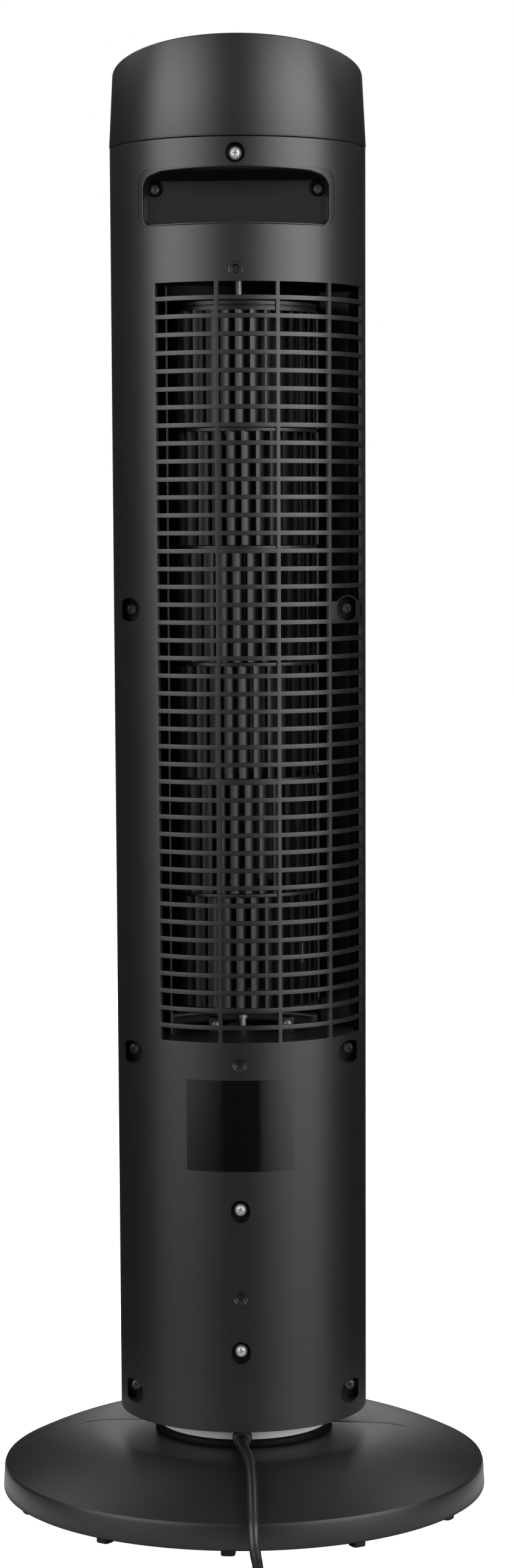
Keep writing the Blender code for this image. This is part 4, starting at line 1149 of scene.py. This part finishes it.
for name, x in zip(BUTTONS, BUTTON_X):
    cap_shape = spun(button_profile, 40, False)
    move_by(cap_shape, (x, BUTTON_V, 0))
    piece(name + "_cap", slant(cap_shape), HOUSING, name, name)
lamps = []
for x in BUTTON_X:
    lamp = rod(0.0011, -0.0014, -0.00105, 20)
    move_by(lamp, (x, BUTTON_V + 0.0115, 0))
    lamps.append(lamp)
piece("panel_lamps", slant(all_of(*lamps)), PALE, "column")
print("panel with", len(BUTTONS), "buttons")

# %% [markdown]
# ## The hub and its collar
#
# Between the column and the base the pale hub shows as a bright band, standing in a black ring.

# %% Hub and collar
hub_low, hub_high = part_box("turntable_hub")
hub_r = hub_high.x
web = 0.0463
hub_profile = rounded([(0.0220, hub_high.z), (0.0220, web + 0.0025), (hub_r - 0.0025, web + 0.0025),
                       (hub_r - 0.0025, 0.0600), (hub_r, 0.0600), (hub_r, web), (0.0220, web), (0.0220, hub_low.z),
                       (0.0190, hub_low.z), (0.0190, hub_high.z)], 0.0004)
hub = piece("hub_ring", spun(hub_profile, 128), PALE, "base", "turntable_hub")
carve(hub, face_back(rod(0.0043, 0.034, 0.070, 32), 0.0, 0.0485))
smoothed(hub)
collar_low, collar_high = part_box("base_collar")
collar_r = collar_high.x
collar_profile = rounded([(0.0500, collar_low.z), (collar_r, collar_low.z), (collar_r, 0.0460), (0.0500, 0.0460)],
                         [0.0003, 0.0003, 0.0016, 0.0003], 4)
# The collar's black is partly its own colour and partly painted shade under the column.
collar = piece("hub_collar", spun(collar_profile, 128), COLLAR_SHADE_BLACK, "base", "base_collar")
carve(collar, face_back(rod(0.0066, 0.040, 0.080, 40), 0.0, 0.0485))
smoothed(collar)
print("hub radius", round(hub_r, 4), "collar radius", round(collar_r, 4))

# %% [markdown]
# ## The base
#
# Two half shells snap together along a straight seam a little in front of the axis. The top is a flat ring, then
# a gently crowned slope, then an upright rim with a crease above it. One profile is spun whole and bisected
# twice, and the cut edges are eased so that the seam catches the light as a fine line.

# %% Base shells
BASE_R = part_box("base_rear_half")[1].x
PLATEAU_R, PLATEAU_Z = 0.0905, 0.0420
RIM_Z = 0.0205
FOOT_H = 0.0048
SEAM_Y = -0.0070
BASE_TURN = math.radians(-2.8)


def slope_height(radius):
    """Return the height of the base's crowned slope."""
    share = (radius - PLATEAU_R) / (BASE_R - PLATEAU_R)
    return PLATEAU_Z + (RIM_Z - PLATEAU_Z) * share + 0.0120 * share * (1 - share)


crown = [PLATEAU_R + (BASE_R - 0.0016 - PLATEAU_R) * step / 14 for step in range(15)]
crown = [(radius, slope_height(radius)) for radius in crown]
base_profile = [(0.0223, PLATEAU_Z), (0.0860, PLATEAU_Z), (0.0890, PLATEAU_Z - 0.0001)] + crown[1:]
base_profile += [(BASE_R - 0.0011, RIM_Z - 0.0004), (BASE_R - 0.0008, RIM_Z - 0.0014),
                 (BASE_R - 0.0001, FOOT_H + 0.0012),
                 (BASE_R - 0.0003, FOOT_H + 0.0004), (BASE_R - 0.0010, FOOT_H), (BASE_R - 0.0105, FOOT_H),
                 (BASE_R - 0.0105, FOOT_H + 0.0030), (BASE_R - 0.0032, FOOT_H + 0.0030),
                 (BASE_R - 0.0034, RIM_Z - 0.0034)]
base_profile += [(radius - 0.0010, z - 0.0029) for radius, z in reversed(crown[1:-1])]
base_profile += [(PLATEAU_R, PLATEAU_Z - 0.0028), (0.0223, PLATEAU_Z - 0.0028)]
for name, node, side in (("base_rear_shell", "base_rear_half", 1.0),
                         ("base_front_shell", "base_front_half", -1.0)):
    half_shell = spun(base_profile, 180)
    everything = half_shell.verts[:] + half_shell.edges[:] + half_shell.faces[:]
    bmesh.ops.bisect_plane(half_shell, geom=everything, plane_co=(0, SEAM_Y + side * 0.00018, 0),
                           plane_no=(0, -side, 0), clear_outer=True)
    bmesh.ops.holes_fill(half_shell, edges=[e for e in half_shell.edges if e.is_boundary], sides=0)
    bmesh.ops.recalc_face_normals(half_shell, faces=half_shell.faces)
    seam = [e for e in half_shell.edges if len(e.link_faces) == 2 and e.calc_face_angle() > 0.6
            and all(abs(v.co.y - SEAM_Y) < 0.0005 for v in e.verts)]
    soften(half_shell, seam, 0.00030, 2)
    turn_by(half_shell, Matrix.Rotation(BASE_TURN, 3, "Z"))
    piece(name, half_shell, BASE_BLACK, "base", node, sharp=24.0)
print("base shells: radius", round(BASE_R, 4))

# %% Feet
for number in range(1, 11):
    node = "foot_%02d" % number
    low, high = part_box(node)
    middle = (low + high) / 2
    pad = unit_cube((0.0088, 0.0088, high.z - low.z))
    upright = [e for e in pad.edges if abs((e.verts[0].co - e.verts[1].co).normalized().z) > 0.9]
    soften(pad, upright, 0.0024, 5)
    under = [e for e in pad.edges if all(v.co.z < 0 for v in e.verts)]
    soften(pad, under, 0.0006, 2)
    turn = math.atan2(middle.y, middle.x)
    turn_by(pad, Matrix.Rotation(turn, 3, "Z"))
    move_by(pad, middle)
    piece("pad_%02d" % number, pad, RUBBER, "base", node)
print("ten feet,", round(high.z, 4), "m tall")

# %% [markdown]
# ## Solids that keep their shape
#
# What is deep inside or underneath is good enough as it is, so it only gets a finish.

# %% Finishes for the other solids
KEPT = {"scroll_wall": DUCT_BLACK, "tongue_wall": DUCT_BLACK,
        "duct_bottom_plate": DUCT_BLACK, "fan_motor": CAN, "control_board": BOARD,
        "column_floor": DUCT_BLACK, "swing_motor": CAN, "fixed_gear": PALE, "swing_pinion": PALE,
        "lock_nut": PALE}
for name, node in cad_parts.items():
    if node.hide_render:
        continue
    node.data.materials.clear()
    node.data.materials.append(KEPT.get(name, HOUSING))
plate_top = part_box("duct_bottom_plate")[1].z
for number, (x, z) in enumerate(((-0.0288, 0.3062), (0.0160, 0.3058)), 1):
    block = unit_cube((0.0084, 0.0060, 0.0100))
    soften(block, block.edges[:], 0.0008, 2)
    move_by(block, (x, 0.0270, plate_top + 0.0048))
    piece("plate_lug_%d" % number, block, DUCT_BLACK, "column")
    head = face_back(screw_head(0.0028), x, z, 0.0300)
    piece("plate_screw_%d" % number, head, DARK_SCREW, "column")
print("kept solids:", sorted(n for n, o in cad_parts.items() if not o.hide_render))

# %% [markdown]
# ## Floor and light
#
# The fan stands on a plain pale floor in front of a plain pale surround. Two tall curved panels stand beside the
# camera and give the long soft highlights left and right of the middle, brighter towards the top. Weaker panels
# on the far side light the front. The panels can't be seen directly.

# %% Floor and surround
def stage_piece(name, bm, look):
    """Finish a bmesh as part of the studio."""
    mesh = bpy.data.meshes.new(name)
    bm.to_mesh(mesh)
    bm.free()
    mesh.materials.append(look)
    made = bpy.data.objects.new(name, mesh)
    bpy.context.scene.collection.objects.link(made)
    return made


def glow(name, strength, levels=None):
    """Make a light-giving material, stronger towards the top where levels say so."""
    made = bpy.data.materials.new(name)
    made.use_nodes = True
    tree = made.node_tree
    tree.nodes.clear()
    wire = Wire(tree)
    output = tree.nodes.new("ShaderNodeOutputMaterial")
    power = strength
    if levels:
        here = wire.node("ShaderNodeTexCoord", output=3)
        z = wire.node("ShaderNodeSeparateXYZ", inputs={0: here}, output=2)
        share = wire.node("ShaderNodeMapRange", inputs={0: z, 1: levels[0], 2: levels[1], 3: levels[2], 4: 1.0})
        x = wire.node("ShaderNodeSeparateXYZ", inputs={0: here}, output=0)
        side = wire.node("ShaderNodeMath", {"operation": "ABSOLUTE"}, {0: x})
        across = wire.node("ShaderNodeMapRange", inputs={0: side, 1: 0.76, 2: 2.0, 3: 0.14, 4: 1.0})
        power = share * across * strength
    glowing = wire.node("ShaderNodeEmission", inputs={"Strength": power})
    tree.links.new(glowing.socket, output.inputs["Surface"])
    return made


floor_look, floor_shader, _ = finish_of("floor_pale", (0.86, 0.86, 0.86), 0.75)
floor_shader.inputs["Emission Color"].default_value = (1.0, 1.0, 1.0, 1.0)
floor_shader.inputs["Emission Strength"].default_value = 1.0
floor_bm = bmesh.new()
bmesh.ops.create_circle(floor_bm, cap_ends=True, segments=96, radius=11.0)
floor = stage_piece("floor", floor_bm, floor_look)
surround_bm = bmesh.new()
bmesh.ops.create_icosphere(surround_bm, subdivisions=4, radius=12.0)
surround = stage_piece("surround", surround_bm, glow("surround_pale", 1.0))
for made in (floor, surround):
    made.visible_diffuse = False
    made.visible_glossy = False
    made.visible_transmission = False
surround.visible_shadow = False
print("floor and surround ready")

# %% Light panels
def light_panel(name, start, end, low, high, strength, levels):
    """Stand a curved light panel round the fan between two angles."""
    bm = bmesh.new()
    line = [bm.verts.new(on_column(start, 2.6, z)) for z in (low, high)]
    bmesh.ops.spin(bm, geom=line + [bm.edges.new(line)], cent=(0, 0, 0), axis=(0, 0, 1),
                   angle=math.radians(end - start), steps=24)
    made = stage_piece(name, bm, glow(name + "_glow", strength, levels))
    made.visible_camera = False
    made.visible_shadow = False
    return made


light_panel("panel_left", -80.0, -17.0, -0.9, 2.3, 5.7, (-0.25, 1.15, 0.055))
light_panel("panel_right", 17.0, 80.0, -0.9, 2.3, 7.1, (-0.45, 1.15, 0.080))
bounce = bmesh.new()
line = [bounce.verts.new(on_column(0.0, radius, 0.0006)) for radius in (BASE_R + 0.006, 0.24)]
bmesh.ops.spin(bounce, geom=line + [bounce.edges.new(line)], cent=(0, 0, 0), axis=(0, 0, 1),
               angle=math.tau, steps=64)
floor_bounce = stage_piece("floor_bounce", bounce, glow("floor_bounce_glow", 1.0))
floor_bounce.visible_camera = False
floor_bounce.visible_shadow = False
light_panel("panel_front", 168.0, 192.0, 0.1, 2.2, 1.2, None)
light_panel("panel_far_left", -176.0, -104.0, 1.9, 3.4, 3.0, (1.4, 2.4, 0.6))
light_panel("panel_far_right", 104.0, 176.0, 1.9, 3.4, 3.0, (1.4, 2.4, 0.6))
top_light = bpy.data.lights.new("top_light", "AREA")
top_light.shape = "DISK"
top_light.size = 2.2
top_light.energy = 12.0
top_lamp = bpy.data.objects.new("top_light", top_light)
top_lamp.location = (0.0, 0.6, 3.4)
top_lamp.rotation_euler = (math.radians(-10.0), 0.0, 0.0)
top_lamp.visible_camera = False
bpy.context.scene.collection.objects.link(top_lamp)
world = bpy.data.worlds.new("studio")
world.use_nodes = True
world.node_tree.nodes["Background"].inputs["Color"].default_value = (1.0, 1.0, 1.0, 1.0)
world.node_tree.nodes["Background"].inputs["Strength"].default_value = 0.015
bpy.context.scene.world = world
bpy.context.scene.view_settings.view_transform = "Standard"
print("lights ready")
